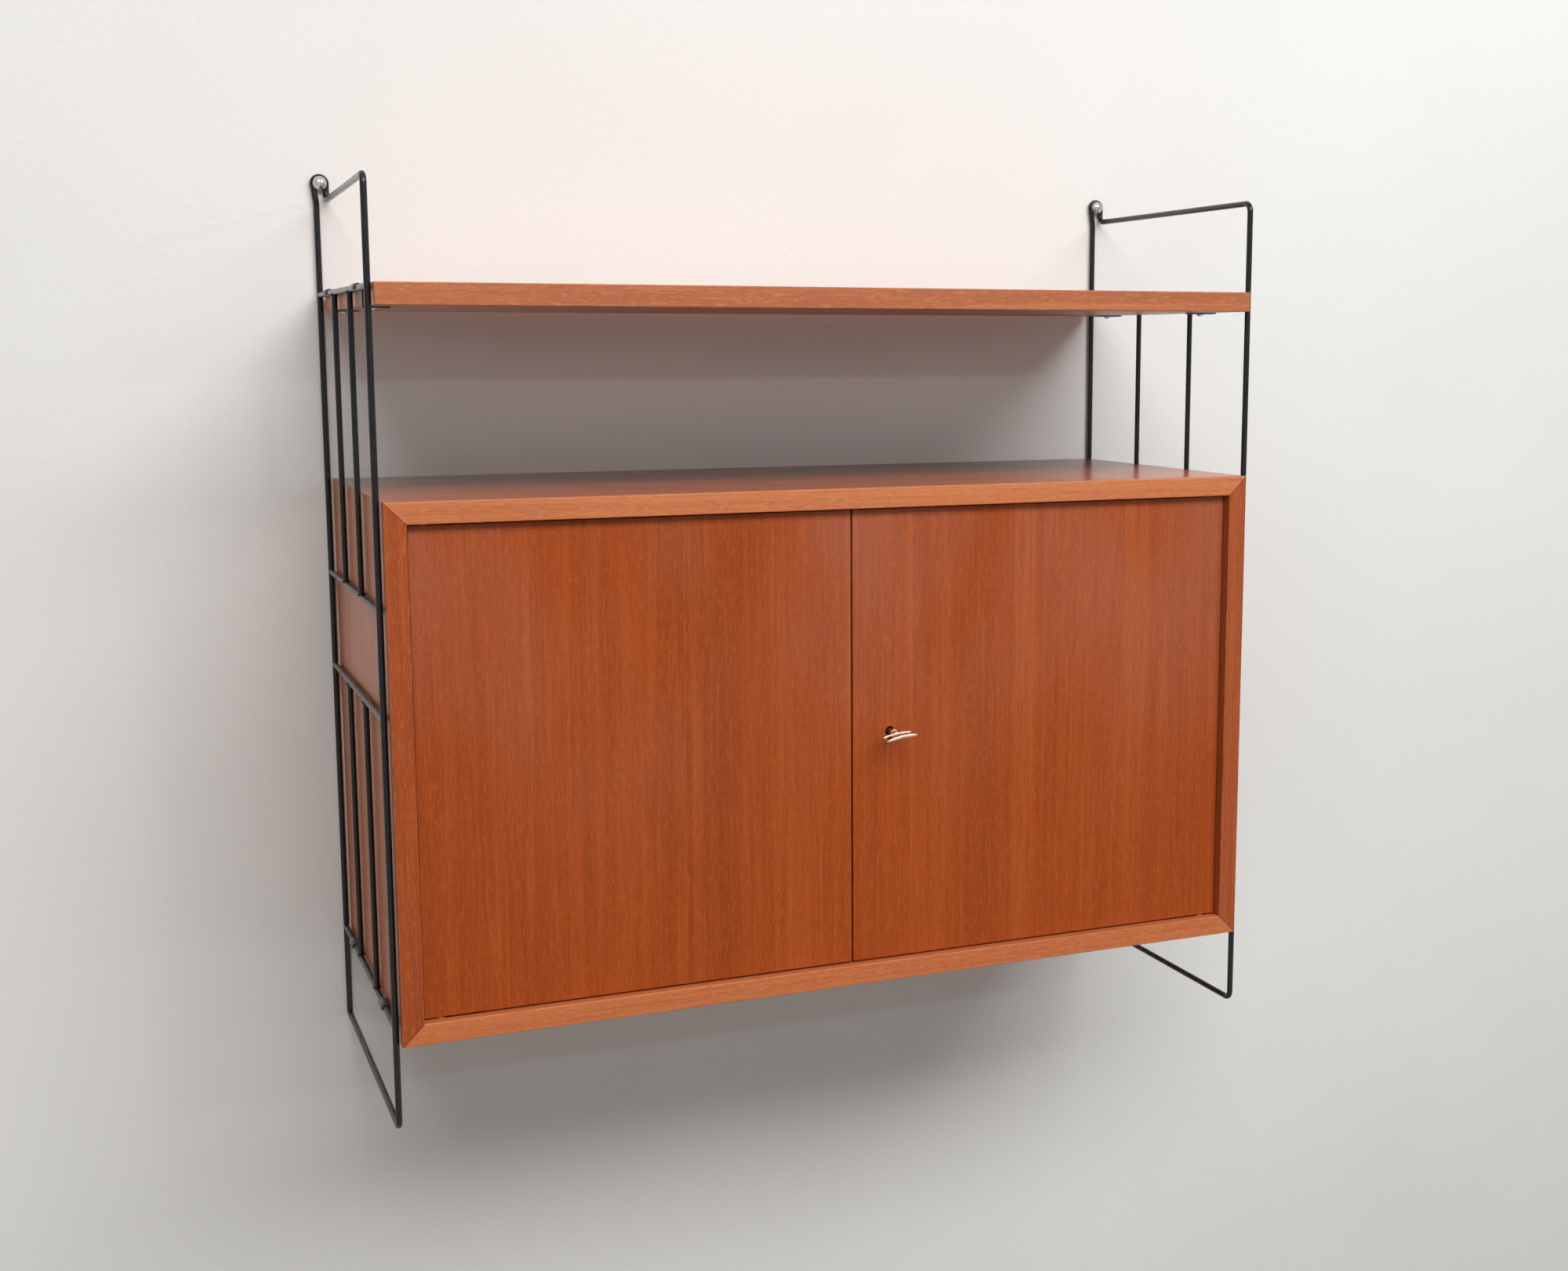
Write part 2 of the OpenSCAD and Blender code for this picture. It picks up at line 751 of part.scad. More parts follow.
// Fixed leaves face the door, so the upper one is turned over
module hinge_fixed_leaves() {
    color([0.72, 0.6, 0.36]) on_both_sides() {
        translate([pivot_x, pivot_y, ceiling_z + leaf_t]) mirror([0, 0, 1]) leaf(pivot_d + 2 * pivot_fit);
        translate([pivot_x, pivot_y, floor_z - leaf_t]) leaf(pivot_d + 2 * pivot_fit);
    }
}

module hinge_fixed_screws() {
    color([0.72, 0.6, 0.36]) on_both_sides() for (x = leaf_screw_x) {
        translate([pivot_x - x, pivot_y, ceiling_z])
            sunk_screw(leaf_screw_head_d, leaf_screw_d, leaf_screw_l);
        translate([pivot_x - x, pivot_y, floor_z]) mirror([0, 0, 1])
            sunk_screw(leaf_screw_head_d, leaf_screw_d, leaf_screw_l);
    }
}

module hinge_washers() {
    washer_t = door_gap - washer_play;
    color([0.8, 0.7, 0.45]) on_both_sides() for (z = [floor_z, ceiling_z - washer_t])
        translate([pivot_x, pivot_y, z]) difference() {
            cylinder(d = washer_d, h = washer_t);
            translate([0, 0, -over]) cylinder(d = pivot_d + 2 * pivot_fit, h = washer_t + 2 * over);
        }
}

// The keeper plate of the slide bolt, let into the top board flush with its underside
module slide_keeper_plate(drop) {
    translate([slide_x - keeper_plate_l / 2, bar_y + bar_t / 2 - keeper_plate_w / 2, 0])
        along_z(ceiling_z + drop, ceiling_z + plate_t) polygon(eased(keeper_plate_l, keeper_plate_w, 2));
}

module slide_keeper_hole(from, to) {
    w = bar_w + 2 * slide_fit;
    t = bar_t + 2 * slide_fit;
    translate([slide_x - w / 2, bar_y - slide_fit, from]) cube([w, t, to - from]);
}

module slide_bolt_keeper() {
    color([0.72, 0.6, 0.36]) translate([mid_x, 0, 0]) difference() {
        slide_keeper_plate(0);
        slide_keeper_hole(ceiling_z - over, ceiling_z + plate_t + over);
    }
}

// A door, drawn for the right half, with the seats of its two leaves
module door_blank() {
    difference() {
        translate([meet_gap / 2 + door_w / 2, door_y, door_z]) eased_panel(door_w, door_t, door_h, arris);
        leaf_recess(door_z - over, door_z + leaf_t);
        leaf_recess(door_top_z - leaf_t, door_top_z + over);
        leaf_pilots(door_z, true);
        leaf_pilots(door_top_z, false);
    }
}

module door_leaves() {
    translate([pivot_x, pivot_y, door_z + leaf_t]) mirror([0, 0, 1]) leaf(pivot_d);
    translate([pivot_x, pivot_y, door_top_z - leaf_t]) leaf(pivot_d);
}

module door_pivots() {
    l = 2 * leaf_t + door_gap - pivot_end_play;
    translate([pivot_x, pivot_y, door_z + leaf_t - l]) cylinder(d = pivot_d, h = l);
    translate([pivot_x, pivot_y, door_top_z - leaf_t]) cylinder(d = pivot_d, h = l);
}

module door_leaf_screws() {
    for (x = leaf_screw_x) {
        translate([pivot_x - x, pivot_y, door_z]) sunk_screw(leaf_screw_head_d, leaf_screw_d, leaf_screw_l);
        translate([pivot_x - x, pivot_y, door_top_z]) mirror([0, 0, 1])
            sunk_screw(leaf_screw_head_d, leaf_screw_d, leaf_screw_l);
    }
}

// Screws of the small fittings run forward into the back of a door
module into_door(x, y, z) {
    translate([x, y, z]) rotate([90, 0, 0]) children();
}

module left_door() {
    color([0.6, 0.28, 0.14]) {
        difference() {
            on_side(left) door_blank();
            translate([mid_x, 0, 0]) {
                for (z = keeper_screw_z) into_door(keeper_x - keeper_l / 2, door_back_y + over, z)
                    cylinder(d = lock_screw_d, h = lock_screw_l + over);
                for (z = slide_screw_z, s = [-1, 1])
                    into_door(slide_x + s * slide_screw_x, door_back_y + over, z)
                        cylinder(d = slide_screw_d, h = slide_screw_l + over);
            }
        }
    }
}

module left_door_leaves() {
    color([0.72, 0.6, 0.36]) on_side(left) door_leaves();
}

module left_door_pivots() {
    color([0.78, 0.76, 0.7]) on_side(left) door_pivots();
}

module left_leaf_screws() {
    color([0.72, 0.6, 0.36]) on_side(left) door_leaf_screws();
}

// The keeper is a plate with a bridge, and the lock bolt runs into the bridge from the right
module lock_keeper() {
    low = [keeper_x - keeper_l, door_back_y, key_z - keeper_h / 2];
    window_h = bolt_h + 4 * slide_fit;
    window_t = bolt_t + 4 * slide_fit;
    color([0.62, 0.62, 0.62]) translate([mid_x, 0, 0]) difference() {
        union() {
            translate([keeper_x - keeper_l, 0, key_z - keeper_plate_h / 2])
                along_y(door_back_y, door_back_y + plate_t) polygon(eased(keeper_l, keeper_plate_h, 2));
            translate(low) along_x(0, keeper_l) polygon(eased(keeper_d, keeper_h, 1));
        }
        translate([keeper_x - keeper_l - over, bolt_y - 2 * slide_fit, key_z - window_h / 2])
            cube([keeper_l + 2 * over, window_t, window_h]);
        for (z = keeper_screw_z) into_door(keeper_x - keeper_l / 2, door_back_y + plate_t, z)
            sunk_hole(lock_screw_head_d, lock_screw_d, plate_t + over);
    }
}

module lock_keeper_screws() {
    color([0.7, 0.7, 0.7]) translate([mid_x, 0, 0])
        for (z = keeper_screw_z) into_door(keeper_x - keeper_l / 2, door_back_y + plate_t, z)
            sunk_screw(lock_screw_head_d, lock_screw_d, lock_screw_l);
}

// The plate of the slide bolt carries two guides over its bar
module slide_bolt_plate() {
    guide_w = bar_w + 2 * slide_fit + 2 * guide_t;
    guide_y = bar_y + bar_t + slide_fit + guide_t;
    color([0.72, 0.6, 0.36]) translate([mid_x, 0, 0]) difference() {
        union() {
            translate([slide_x - plate_w / 2, 0, plate_top_z - plate_l])
                along_y(door_back_y, door_back_y + plate_t) polygon(eased(plate_w, plate_l, 2));
            for (z = [plate_top_z - guide_h - 1, plate_top_z - plate_l + 1])
                translate([0, 0, z]) box(
                    [slide_x - guide_w / 2, door_back_y, 0],
                    [slide_x + guide_w / 2, guide_y, guide_h]
                );
        }
        translate([slide_x - guide_w / 2 + guide_t, door_back_y + plate_t, plate_top_z - plate_l - over])
            cube([guide_w - 2 * guide_t, bar_t + 2 * slide_fit, plate_l + 2 * over]);
        for (z = slide_screw_z, s = [-1, 1]) into_door(slide_x + s * slide_screw_x, door_back_y + plate_t, z)
            sunk_hole(slide_screw_head_d, slide_screw_d, plate_t + over);
    }
}

module slide_bolt_screws() {
    color([0.72, 0.6, 0.36]) translate([mid_x, 0, 0])
        for (z = slide_screw_z, s = [-1, 1]) into_door(slide_x + s * slide_screw_x, door_back_y + plate_t, z)
            sunk_screw(slide_screw_head_d, slide_screw_d, slide_screw_l);
}

// The bar of the slide bolt, drawn down, with its knob between the guides
module slide_bolt_bar() {
    knob_z = plate_top_z - plate_l / 2 - bar_travel / 2;
    color([0.78, 0.68, 0.42]) translate([mid_x + slide_x, 0, 0]) {
        translate([-bar_w / 2, bar_y, bar_top_z - bar_l]) cube([bar_w, bar_t, bar_l]);
        translate([0, bar_y + bar_t, knob_z]) rotate([-90, 0, 0]) {
            cylinder(d = bar_w - 2, h = knob_l);
            translate([0, 0, knob_l - 2]) cylinder(d = bar_w, h = 2);
        }
    }
}

// The keyhole: a round hole with a slot below it for the bit
module keyhole() {
    translate([key_x, door_y - over, key_z]) rotate([-90, 0, 0])
        cylinder(d = keyhole_d, h = door_t + 2 * over);
    translate([key_x - keyhole_slot / 2, door_y - over, key_z - bit_r - 1])
        cube([keyhole_slot, door_t + 2 * over, bit_r + 1]);
}

function lug_screws() =
    [for (x = [case_x + 7, case_x + case_l - 7], s = [-1, 1]) [x, key_z + s * lug_screw_z]];

module right_door() {
    color([0.6, 0.28, 0.14]) difference() {
        on_side(right) door_blank();
        translate([mid_x, 0, 0]) {
            keyhole();
            for (p = lug_screws()) into_door(p[0], door_back_y + over, p[1])
                cylinder(d = lock_screw_d, h = lock_screw_l + over);
        }
    }
}

module right_door_leaves() {
    color([0.72, 0.6, 0.36]) on_side(right) door_leaves();
}

module right_door_pivots() {
    color([0.78, 0.76, 0.7]) on_side(right) door_pivots();
}

module right_leaf_screws() {
    color([0.72, 0.6, 0.36]) on_side(right) door_leaf_screws();
}

// The lock case: a sheet-metal tray open towards the door, with lugs above and below
module lock_case() {
    lug_plate_h = case_h + 2 * lug_h;
    color([0.62, 0.62, 0.62]) translate([mid_x, 0, 0]) difference() {
        union() {
            translate([case_x, 0, key_z - lug_plate_h / 2])
                along_y(door_back_y, door_back_y + case_t) polygon(eased(case_l, lug_plate_h, 3));
            translate([case_x, door_back_y, key_z - case_h / 2])
                along_x(0, case_l) polygon(eased(case_d, case_h, 0.8));
        }
        box(
            [case_x + case_t, door_back_y - over, key_z - case_h / 2 + case_t],
            [case_x + case_l - case_t, case_back_y - case_t, key_z + case_h / 2 - case_t]
        );
        box(
            [case_x - over, bolt_y - slide_fit, key_z - bolt_h / 2 - slide_fit],
            [case_x + case_t + over, bolt_y + bolt_t + slide_fit, key_z + bolt_h / 2 + slide_fit]
        );
        translate([key_x, case_back_y - case_t - over, key_z]) rotate([-90, 0, 0])
            cylinder(d = shank_d + 2 * pivot_fit, h = case_t + 2 * over);
        for (p = lug_screws()) into_door(p[0], door_back_y + case_t, p[1])
            sunk_hole(lock_screw_head_d, lock_screw_d, case_t + over);
    }
}

module lock_case_screws() {
    color([0.7, 0.7, 0.7]) translate([mid_x, 0, 0])
        for (p = lug_screws()) into_door(p[0], door_back_y + case_t, p[1])
            sunk_screw(lock_screw_head_d, lock_screw_d, lock_screw_l);
}

// A bowed strip between the lid of the case and the bolt's tail
module lock_spring() {
    room = case_h / 2 - case_t - tail_h / 2;
    rise = room - slide_fit;
    half = 18;
    strip_t = 0.5;
    r = (half * half + rise * rise) / (2 * rise);
    spread = asin(half / r);
    centre = [case_x + case_l / 2 + 2, key_z + tail_h / 2 + room - r];
    color([0.5, 0.52, 0.56]) translate([mid_x, 0, 0]) along_y(bolt_y, bolt_y + 4) difference() {
        translate(centre) circle(r = r, $fn = 96);
        translate(centre) circle(r = r - strip_t, $fn = 96);
        translate(centre + [-2 * r, -2 * r]) square([4 * r, 2 * r + r * cos(spread)]);
    }
}

// The bolt: a block in the end of the case and a flat tail with a window round the bit
module lock_bolt() {
    window_l = 2 * window_r + bolt_throw;
    color([0.75, 0.7, 0.55]) translate([mid_x, 0, 0]) difference() {
        union() {
            box(
                [case_x, bolt_y, key_z - bolt_h / 2],
                [case_x + bolt_head_l, bolt_y + bolt_t, key_z + bolt_h / 2]
            );
            box(
                [case_x + bolt_throw + case_t + slide_fit, bolt_y, key_z - tail_h / 2],
                [tail_end_x, bolt_y + tail_t, key_z + tail_h / 2]
            );
        }
        box(
            [key_x - window_r, bolt_y - over, key_z - window_r],
            [key_x - window_r + window_l, bolt_y + tail_t + over, key_z + window_r]
        );
    }
}

// The key, drawn with its axis along Y and its bit down, y = 0 at the door's face
module key_shape() {
    shank_end = shank_end_y - door_y;
    bow_back = -bow_out;
    bow_front = -bow_out - bow_l;
    slot_l = bow_w / 2 - bow_rim - shank_d / 2;
    bit_from = bolt_y - door_y;
    difference() {
        union() {
            translate([0, shank_end, 0]) rotate([90, 0, 0])
                cylinder(d = shank_d, h = shank_end - bow_back + over);
            translate([0, -bow_out * 0.45, 0]) rotate([90, 0, 0]) cylinder(d = collar_d, h = bow_out * 0.3);
            along_y(bow_front, bow_back) difference() {
                translate([0, -bow_arch]) circle(r = bow_arch + bow_t / 2, $fn = 128);
                translate([0, -bow_arch]) circle(r = bow_arch - bow_t / 2, $fn = 128);
                translate([-2 * bow_arch, -4 * bow_arch]) square([4 * bow_arch, 3 * bow_arch]);
                for (s = [-1, 1]) translate([s * (bow_w / 2 + bow_arch) - bow_arch, -2 * bow_arch])
                    square([2 * bow_arch, 3 * bow_arch]);
            }
        }
        for (x = [-shank_d / 2 - slot_l, shank_d / 2]) translate([x, bow_front + bow_rim, -bow_t - over])
            cube([slot_l, bow_l - 2 * bow_rim, 2 * bow_t + 3 * over]);
    }
    difference() {
        box([-bit_t / 2, bit_from, -bit_r], [bit_t / 2, bit_from + bolt_t, -shank_d / 4]);
        box(
            [-bit_t, bit_from + bolt_t * 0.4, -bit_r - over],
            [bit_t, bit_from + bolt_t * 0.65, -bit_r * 0.7]
        );
    }
}

module key() {
    color([0.8, 0.72, 0.52]) translate([mid_x + key_x, door_y, key_z]) rotate([0, -key_turn, 0]) key_shape();
}

left_ladder_wire();
left_ladder_rungs();
left_ladder_rods();
right_ladder_wire();
right_ladder_rungs();
right_ladder_rods();
wall_screws();
shelf();
shelf_hooks();
shelf_hook_screws();
cabinet_top();
cabinet_bottom();
cabinet_left_side();
cabinet_right_side();
cabinet_hooks();
cabinet_hook_screws();
back_panel();
back_panel_nails();
inner_shelf();
shelf_pins();
door_stops();
hinge_fixed_leaves();
hinge_fixed_screws();
hinge_washers();
slide_bolt_keeper();
left_door();
left_door_leaves();
left_door_pivots();
left_leaf_screws();
lock_keeper();
lock_keeper_screws();
slide_bolt_plate();
slide_bolt_screws();
slide_bolt_bar();
right_door();
right_door_leaves();
right_door_pivots();
right_leaf_screws();
lock_case();
lock_case_screws();
lock_spring();
lock_bolt();
key();
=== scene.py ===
import json
import math

import bpy
from mathutils import Matrix, Vector


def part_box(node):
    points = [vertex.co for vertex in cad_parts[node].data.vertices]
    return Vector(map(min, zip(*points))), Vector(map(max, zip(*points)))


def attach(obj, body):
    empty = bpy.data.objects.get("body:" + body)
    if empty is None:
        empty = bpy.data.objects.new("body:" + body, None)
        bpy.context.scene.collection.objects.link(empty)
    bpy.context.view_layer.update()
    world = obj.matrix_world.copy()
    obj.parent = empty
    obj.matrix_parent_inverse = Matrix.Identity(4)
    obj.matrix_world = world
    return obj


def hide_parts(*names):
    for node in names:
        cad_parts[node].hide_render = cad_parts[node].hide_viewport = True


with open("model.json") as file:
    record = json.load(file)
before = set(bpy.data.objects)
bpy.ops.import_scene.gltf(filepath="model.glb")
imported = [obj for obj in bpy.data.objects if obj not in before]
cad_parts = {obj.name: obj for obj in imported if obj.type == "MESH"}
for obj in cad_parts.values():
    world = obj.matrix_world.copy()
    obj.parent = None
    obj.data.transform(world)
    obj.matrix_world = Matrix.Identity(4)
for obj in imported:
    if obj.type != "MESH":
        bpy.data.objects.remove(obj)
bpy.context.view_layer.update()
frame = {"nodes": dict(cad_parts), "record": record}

# The camera stands in front of the unit and a little to its left, at the height of the shelf.
# It looks slightly down and to the right, as a person with a hand-held camera would.
bpy.ops.object.select_all(action="DESELECT")
view = bpy.data.cameras.new("camera")
view.sensor_fit = "HORIZONTAL"
view.sensor_width = 36.0
view.lens = 43.754
view.shift_x = -0.0672
view.shift_y = -0.00995
view.clip_start = 0.05
camera = bpy.data.objects.new("camera", view)
camera.location = (-0.62397, -1.84260, -0.14650)
tilt_down, turn_right = 8.191, 23.137
camera.rotation_euler = (math.radians(90 - tilt_down), 0, math.radians(-turn_right))
bpy.context.scene.collection.objects.link(camera)
bpy.context.scene.camera = camera
bpy.context.scene.view_settings.view_transform = "Standard"


# The room: a matt white plastered wall and a pale floor. Both are seen from their painted side
# only, so that the back and the underside of the unit can be looked at as well.
def place(tree, kind, inputs=None, **settings):
    """Adds a shader node; each input is a plain value or the socket that feeds it."""
    made = tree.nodes.new("ShaderNode" + kind)
    for name, value in settings.items():
        setattr(made, name, value)
    for name, value in (inputs or {}).items():
        if isinstance(value, bpy.types.NodeSocket):
            tree.links.new(value, made.inputs[name])
        else:
            made.inputs[name].default_value = value
    return made


def new_material(name):
    material = bpy.data.materials.new(name)
    material.use_nodes = True
    material.node_tree.nodes.clear()
    return material, material.node_tree


def combine(tree, how, a, b):
    return place(tree, "Math", {0: a, 1: b}, operation=how).outputs[0]


def seen_rays(tree):
    """1 for the rays that show a surface to the eye, in a reflection or through glass, otherwise 0."""
    rays = place(tree, "LightPath").outputs
    direct = combine(tree, "MAXIMUM", rays["Is Camera Ray"], rays["Is Glossy Ray"])
    return combine(tree, "MAXIMUM", direct, rays["Is Transmission Ray"])


def room_surface(name, colour, bump, grain, glow=0.0):
    """Painted surface; the glow is seen by the eye and in mirrors, and lights nothing."""
    material, tree = new_material(name)
    coords = place(tree, "TexCoord").outputs["Object"]
    broad = place(tree, "TexNoise", {"Vector": coords, "Scale": 2.2, "Detail": 3.0})
    tone = place(tree, "MapRange", {"Value": broad.outputs["Fac"], "From Min": 0.3, "From Max": 0.7,
                                    "To Min": 0.97, "To Max": 1.02})
    tint = place(tree, "Mix", {0: 1.0, 6: (*colour, 1), 7: tone.outputs["Result"]},
                 data_type="RGBA", blend_type="MULTIPLY")
    fine = place(tree, "TexNoise", {"Vector": coords, "Scale": grain, "Detail": 4.0, "Roughness": 0.55})
    relief = place(tree, "Bump", {"Height": fine.outputs["Fac"], "Strength": 0.35, "Distance": bump})
    shown_glow = combine(tree, "MULTIPLY", seen_rays(tree), glow)
    paint = place(tree, "BsdfPrincipled", {
        "Base Color": tint.outputs[2], "Roughness": 0.85, "Specular IOR Level": 0.25,
        "Emission Color": (1.0, 0.985, 0.965, 1), "Emission Strength": shown_glow,
        "Normal": relief.outputs["Normal"]})
    clear = place(tree, "BsdfTransparent")
    behind = place(tree, "NewGeometry").outputs["Backfacing"]
    unseen = combine(tree, "MAXIMUM", behind, place(tree, "LightPath").outputs["Is Shadow Ray"])
    mixed = place(tree, "MixShader", {"Fac": unseen, 1: paint.outputs[0], 2: clear.outputs[0]})
    place(tree, "OutputMaterial", {"Surface": mixed.outputs[0]})
    return material


def room_plane(name, centre, turn, size, material):
    bpy.ops.object.select_all(action="DESELECT")
    bpy.ops.mesh.primitive_plane_add(size=1, location=centre, rotation=turn)
    plane = bpy.context.object
    plane.name = name
    plane.scale = (*size, 1)
    bpy.ops.object.transform_apply(location=True, rotation=True, scale=True)
    plane.data.materials.append(material)


room_plane("wall", (0, 0.0004, -0.2), (math.radians(90), 0, 0), (9, 5.4),
           room_surface("wall_paint", (0.785, 0.772, 0.758), 0.0012, 160))
room_plane("floor", (0, -2.5, -1.65), (0, 0, 0), (6, 5),
           room_surface("floor_paint", (0.13, 0.13, 0.128), 0.0005, 90, 0.5))

# The room's own light: a warm band from the walls around, little from the floor and the ceiling,
# and more from the left. It is plain and pale wherever it is seen itself or in a reflection.
world = bpy.data.worlds.new("room_light")
bpy.context.scene.world = world
world.use_nodes = True
room = world.node_tree
room.nodes.clear()
toward = place(room, "SeparateXYZ", {"Vector": place(room, "TexCoord").outputs["Generated"]}).outputs


def above(height, level):
    """The level where a direction rises above a height, and nothing below it."""
    soft = 0.06
    return place(room, "MapRange", {
        "Value": toward["Z"], "From Min": height - soft, "From Max": height + soft, "To Min": 0.0,
        "To Max": level}).outputs["Result"]


level = combine(room, "ADD", 0.08, above(-0.2, 0.55))
level = combine(room, "SUBTRACT", level, above(0.22, 0.58))
leftward = combine(room, "MAXIMUM", combine(room, "MULTIPLY", toward["X"], -1.0), 0.0)
level = combine(room, "ADD", level, combine(room, "MULTIPLY", leftward, above(0.0, 0.32)))
seen = seen_rays(room)
level = place(room, "Mix", {0: seen, 2: level, 3: 0.55}, data_type="FLOAT").outputs[0]
tone = place(room, "Mix", {0: seen, 6: (1.06, 0.98, 0.93, 1), 7: (0.975, 0.985, 1.0, 1)}, data_type="RGBA")
sky = place(room, "Background", {"Color": tone.outputs[2], "Strength": level})
place(room, "OutputWorld", {"Surface": sky.outputs[0]})


def soft_lamp(name, place_at, aim_at, width, height, power, colour):
    lamp = bpy.data.lights.new(name, "AREA")
    lamp.shape = "RECTANGLE"
    lamp.size = width
    lamp.size_y = height
    lamp.energy = power
    lamp.color = colour
    holder = bpy.data.objects.new(name, lamp)
    holder.location = place_at
    holder.rotation_euler = (Vector(aim_at) - Vector(place_at)).to_track_quat("-Z", "Y").to_euler()
    bpy.context.scene.collection.objects.link(holder)


soft_lamp("high_window", (0.56, -3.2, 2.23), (0, 0, -0.4), 5.0, 1.45, 196, (0.985, 1.0, 0.99))
soft_lamp("low_window", (0.77, -2.5, 0.33), (0, 0, -0.2), 0.28, 0.035, 3.2, (0.65, 0.9, 1.0))

back_light = bpy.data.lights.new("back_fill", "SUN")
back_light.energy = 1.3
back_light.angle = math.radians(25)
back_lamp = bpy.data.objects.new("back_fill", back_light)
back_lamp.location = (0, 2, 0)
back_lamp.rotation_euler = (math.radians(-90), 0, 0)
bpy.context.scene.collection.objects.link(back_lamp)


# The ladders: 5.4 mm steel wire bent in one length, with thinner rungs and rods resistance-welded
# between its limbs. Each ladder was dipped in black lacquer, which is chipped a little by use.
def new_group(name, inputs, outputs):
    """An empty node group with its named sockets; returns the tree and its two end nodes."""
    tree = bpy.data.node_groups.new(name, "ShaderNodeTree")
    for label, kind, default in inputs:
        socket = tree.interface.new_socket(label, in_out="INPUT", socket_type="NodeSocket" + kind)
        if default is not None:
            socket.default_value = default
    for label, kind in outputs:
        tree.interface.new_socket(label, in_out="OUTPUT", socket_type="NodeSocket" + kind)
    return tree, tree.nodes.new("NodeGroupInput").outputs, tree.nodes.new("NodeGroupOutput").inputs


def stretched_noise(tree, vector, scale, detail=2.0, roughness=0.5):
    mapped = place(tree, "Mapping", {"Vector": vector, "Scale": scale})
    return place(tree, "TexNoise", {"Vector": mapped.outputs[0], "Scale": 1.0, "Detail": detail,
                                    "Roughness": roughness}).outputs["Fac"]


def between(tree, value, low, high, to_low=0.0, to_high=1.0):
    """A smooth step: low gives to_low and high gives to_high."""
    return place(tree, "MapRange", {"Value": value, "From Min": low, "From Max": high, "To Min": to_low,
                                    "To Max": to_high}, interpolation_type="SMOOTHSTEP").outputs["Result"]


def blend(tree, amount, a, b):
    return place(tree, "Mix", {0: amount, 6: a, 7: b}, data_type="RGBA").outputs[2]


def worn_coat_group():
    """A dipped coat: slow changes of tone, an orange-peel skin, dull rubbed spots and a few chips."""
    tree, given, result = new_group("worn_coat", [
        ("Vector", "Vector", None), ("Coat", "Color", (0.006, 0.0062, 0.007, 1)),
        ("Bare", "Color", (0.2, 0.19, 0.18, 1)), ("Wear", "Float", 0.3), ("Roughness", "Float", 0.22)],
        [("Color", "Color"), ("Roughness", "Float"), ("Metallic", "Float"), ("Height", "Float")])
    slow = stretched_noise(tree, given["Vector"], (38, 38, 38), 3.0)
    skin = stretched_noise(tree, given["Vector"], (420, 420, 420), 1.0)
    rubs = stretched_noise(tree, given["Vector"], (160, 160, 160), 4.0, 0.65)
    chips = stretched_noise(tree, given["Vector"], (520, 520, 520), 3.0, 0.6)
    dull = between(tree, rubs, 0.5, 0.72)
    chipped = combine(tree, "MULTIPLY", between(tree, chips, 0.7, 0.715), between(tree, slow, 0.5, 0.6))
    chipped = combine(tree, "MULTIPLY", chipped, given["Wear"])
    lifted = blend(tree, combine(tree, "MULTIPLY", dull, 0.2), given["Coat"], (0.03, 0.03, 0.032, 1))
    tree.links.new(blend(tree, chipped, lifted, given["Bare"]), result["Color"])
    rough = combine(tree, "ADD", given["Roughness"], combine(tree, "MULTIPLY", dull, 0.22))
    rough = combine(tree, "ADD", rough, combine(tree, "MULTIPLY", chipped, 0.25))
    tree.links.new(rough, result["Roughness"])
    tree.links.new(combine(tree, "MULTIPLY", chipped, 0.8), result["Metallic"])
    tree.links.new(combine(tree, "SUBTRACT", combine(tree, "MULTIPLY", skin, 0.6), chipped), result["Height"])
    return tree


WORN_COAT = worn_coat_group()


def use_group(tree, group, vector, values):
    made = tree.nodes.new("ShaderNodeGroup")
    made.node_tree = group
    tree.links.new(vector, made.inputs["Vector"])
    for label, value in values.items():
        made.inputs[label].default_value = value
    return made.outputs


def lacquer_material(name, shift=(0, 0, 0), **values):
    material, tree = new_material(name)
    coords = place(tree, "TexCoord").outputs["Object"]
    moved = place(tree, "Mapping", {"Vector": coords, "Location": shift})
    coat = use_group(tree, WORN_COAT, moved.outputs[0], values)
    relief = place(tree, "Bump", {"Height": coat["Height"], "Strength": 0.2, "Distance": 0.00006})
    surface = place(tree, "BsdfPrincipled", {
        "Base Color": coat["Color"], "Roughness": coat["Roughness"], "Metallic": coat["Metallic"],
        "Specular IOR Level": 0.4, "Normal": relief.outputs["Normal"]})
    place(tree, "OutputMaterial", {"Surface": surface.outputs[0]})
    return material


def dress(material, *names):
    for name in names:
        for slot in frame["nodes"][name].material_slots:
            slot.material = material


dress(lacquer_material("ladder_lacquer"), "left_ladder_wire", "left_ladder_rungs", "left_ladder_rods",
      "right_ladder_wire", "right_ladder_rungs", "right_ladder_rods")


# The welds: a small smooth collar where each rung meets an upright and each rod meets a rung.
# It is steel pressed out of the joint by the weld, under the same black lacquer as the wire.
def join_onto(piece, others):
    """Joins the other pieces into one, which then is the active piece."""
    bpy.ops.object.select_all(action="DESELECT")
    for one in (*others, piece):
        one.select_set(True)
    bpy.context.view_layer.objects.active = piece
    bpy.ops.object.join()


def finish_piece(piece, name, material, body, smooth=35):
    """Applies the place to the mesh, then names, dresses and hands over a finished piece."""
    bpy.ops.object.select_all(action="DESELECT")
    piece.select_set(True)
    bpy.context.view_layer.objects.active = piece
    bpy.ops.object.transform_apply(location=True, rotation=True, scale=True)
    bpy.ops.object.shade_smooth_by_angle(angle=math.radians(smooth))
    piece.name = name
    piece.data.name = name
    piece.data.materials.clear()
    piece.data.materials.append(material)
    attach(piece, body)


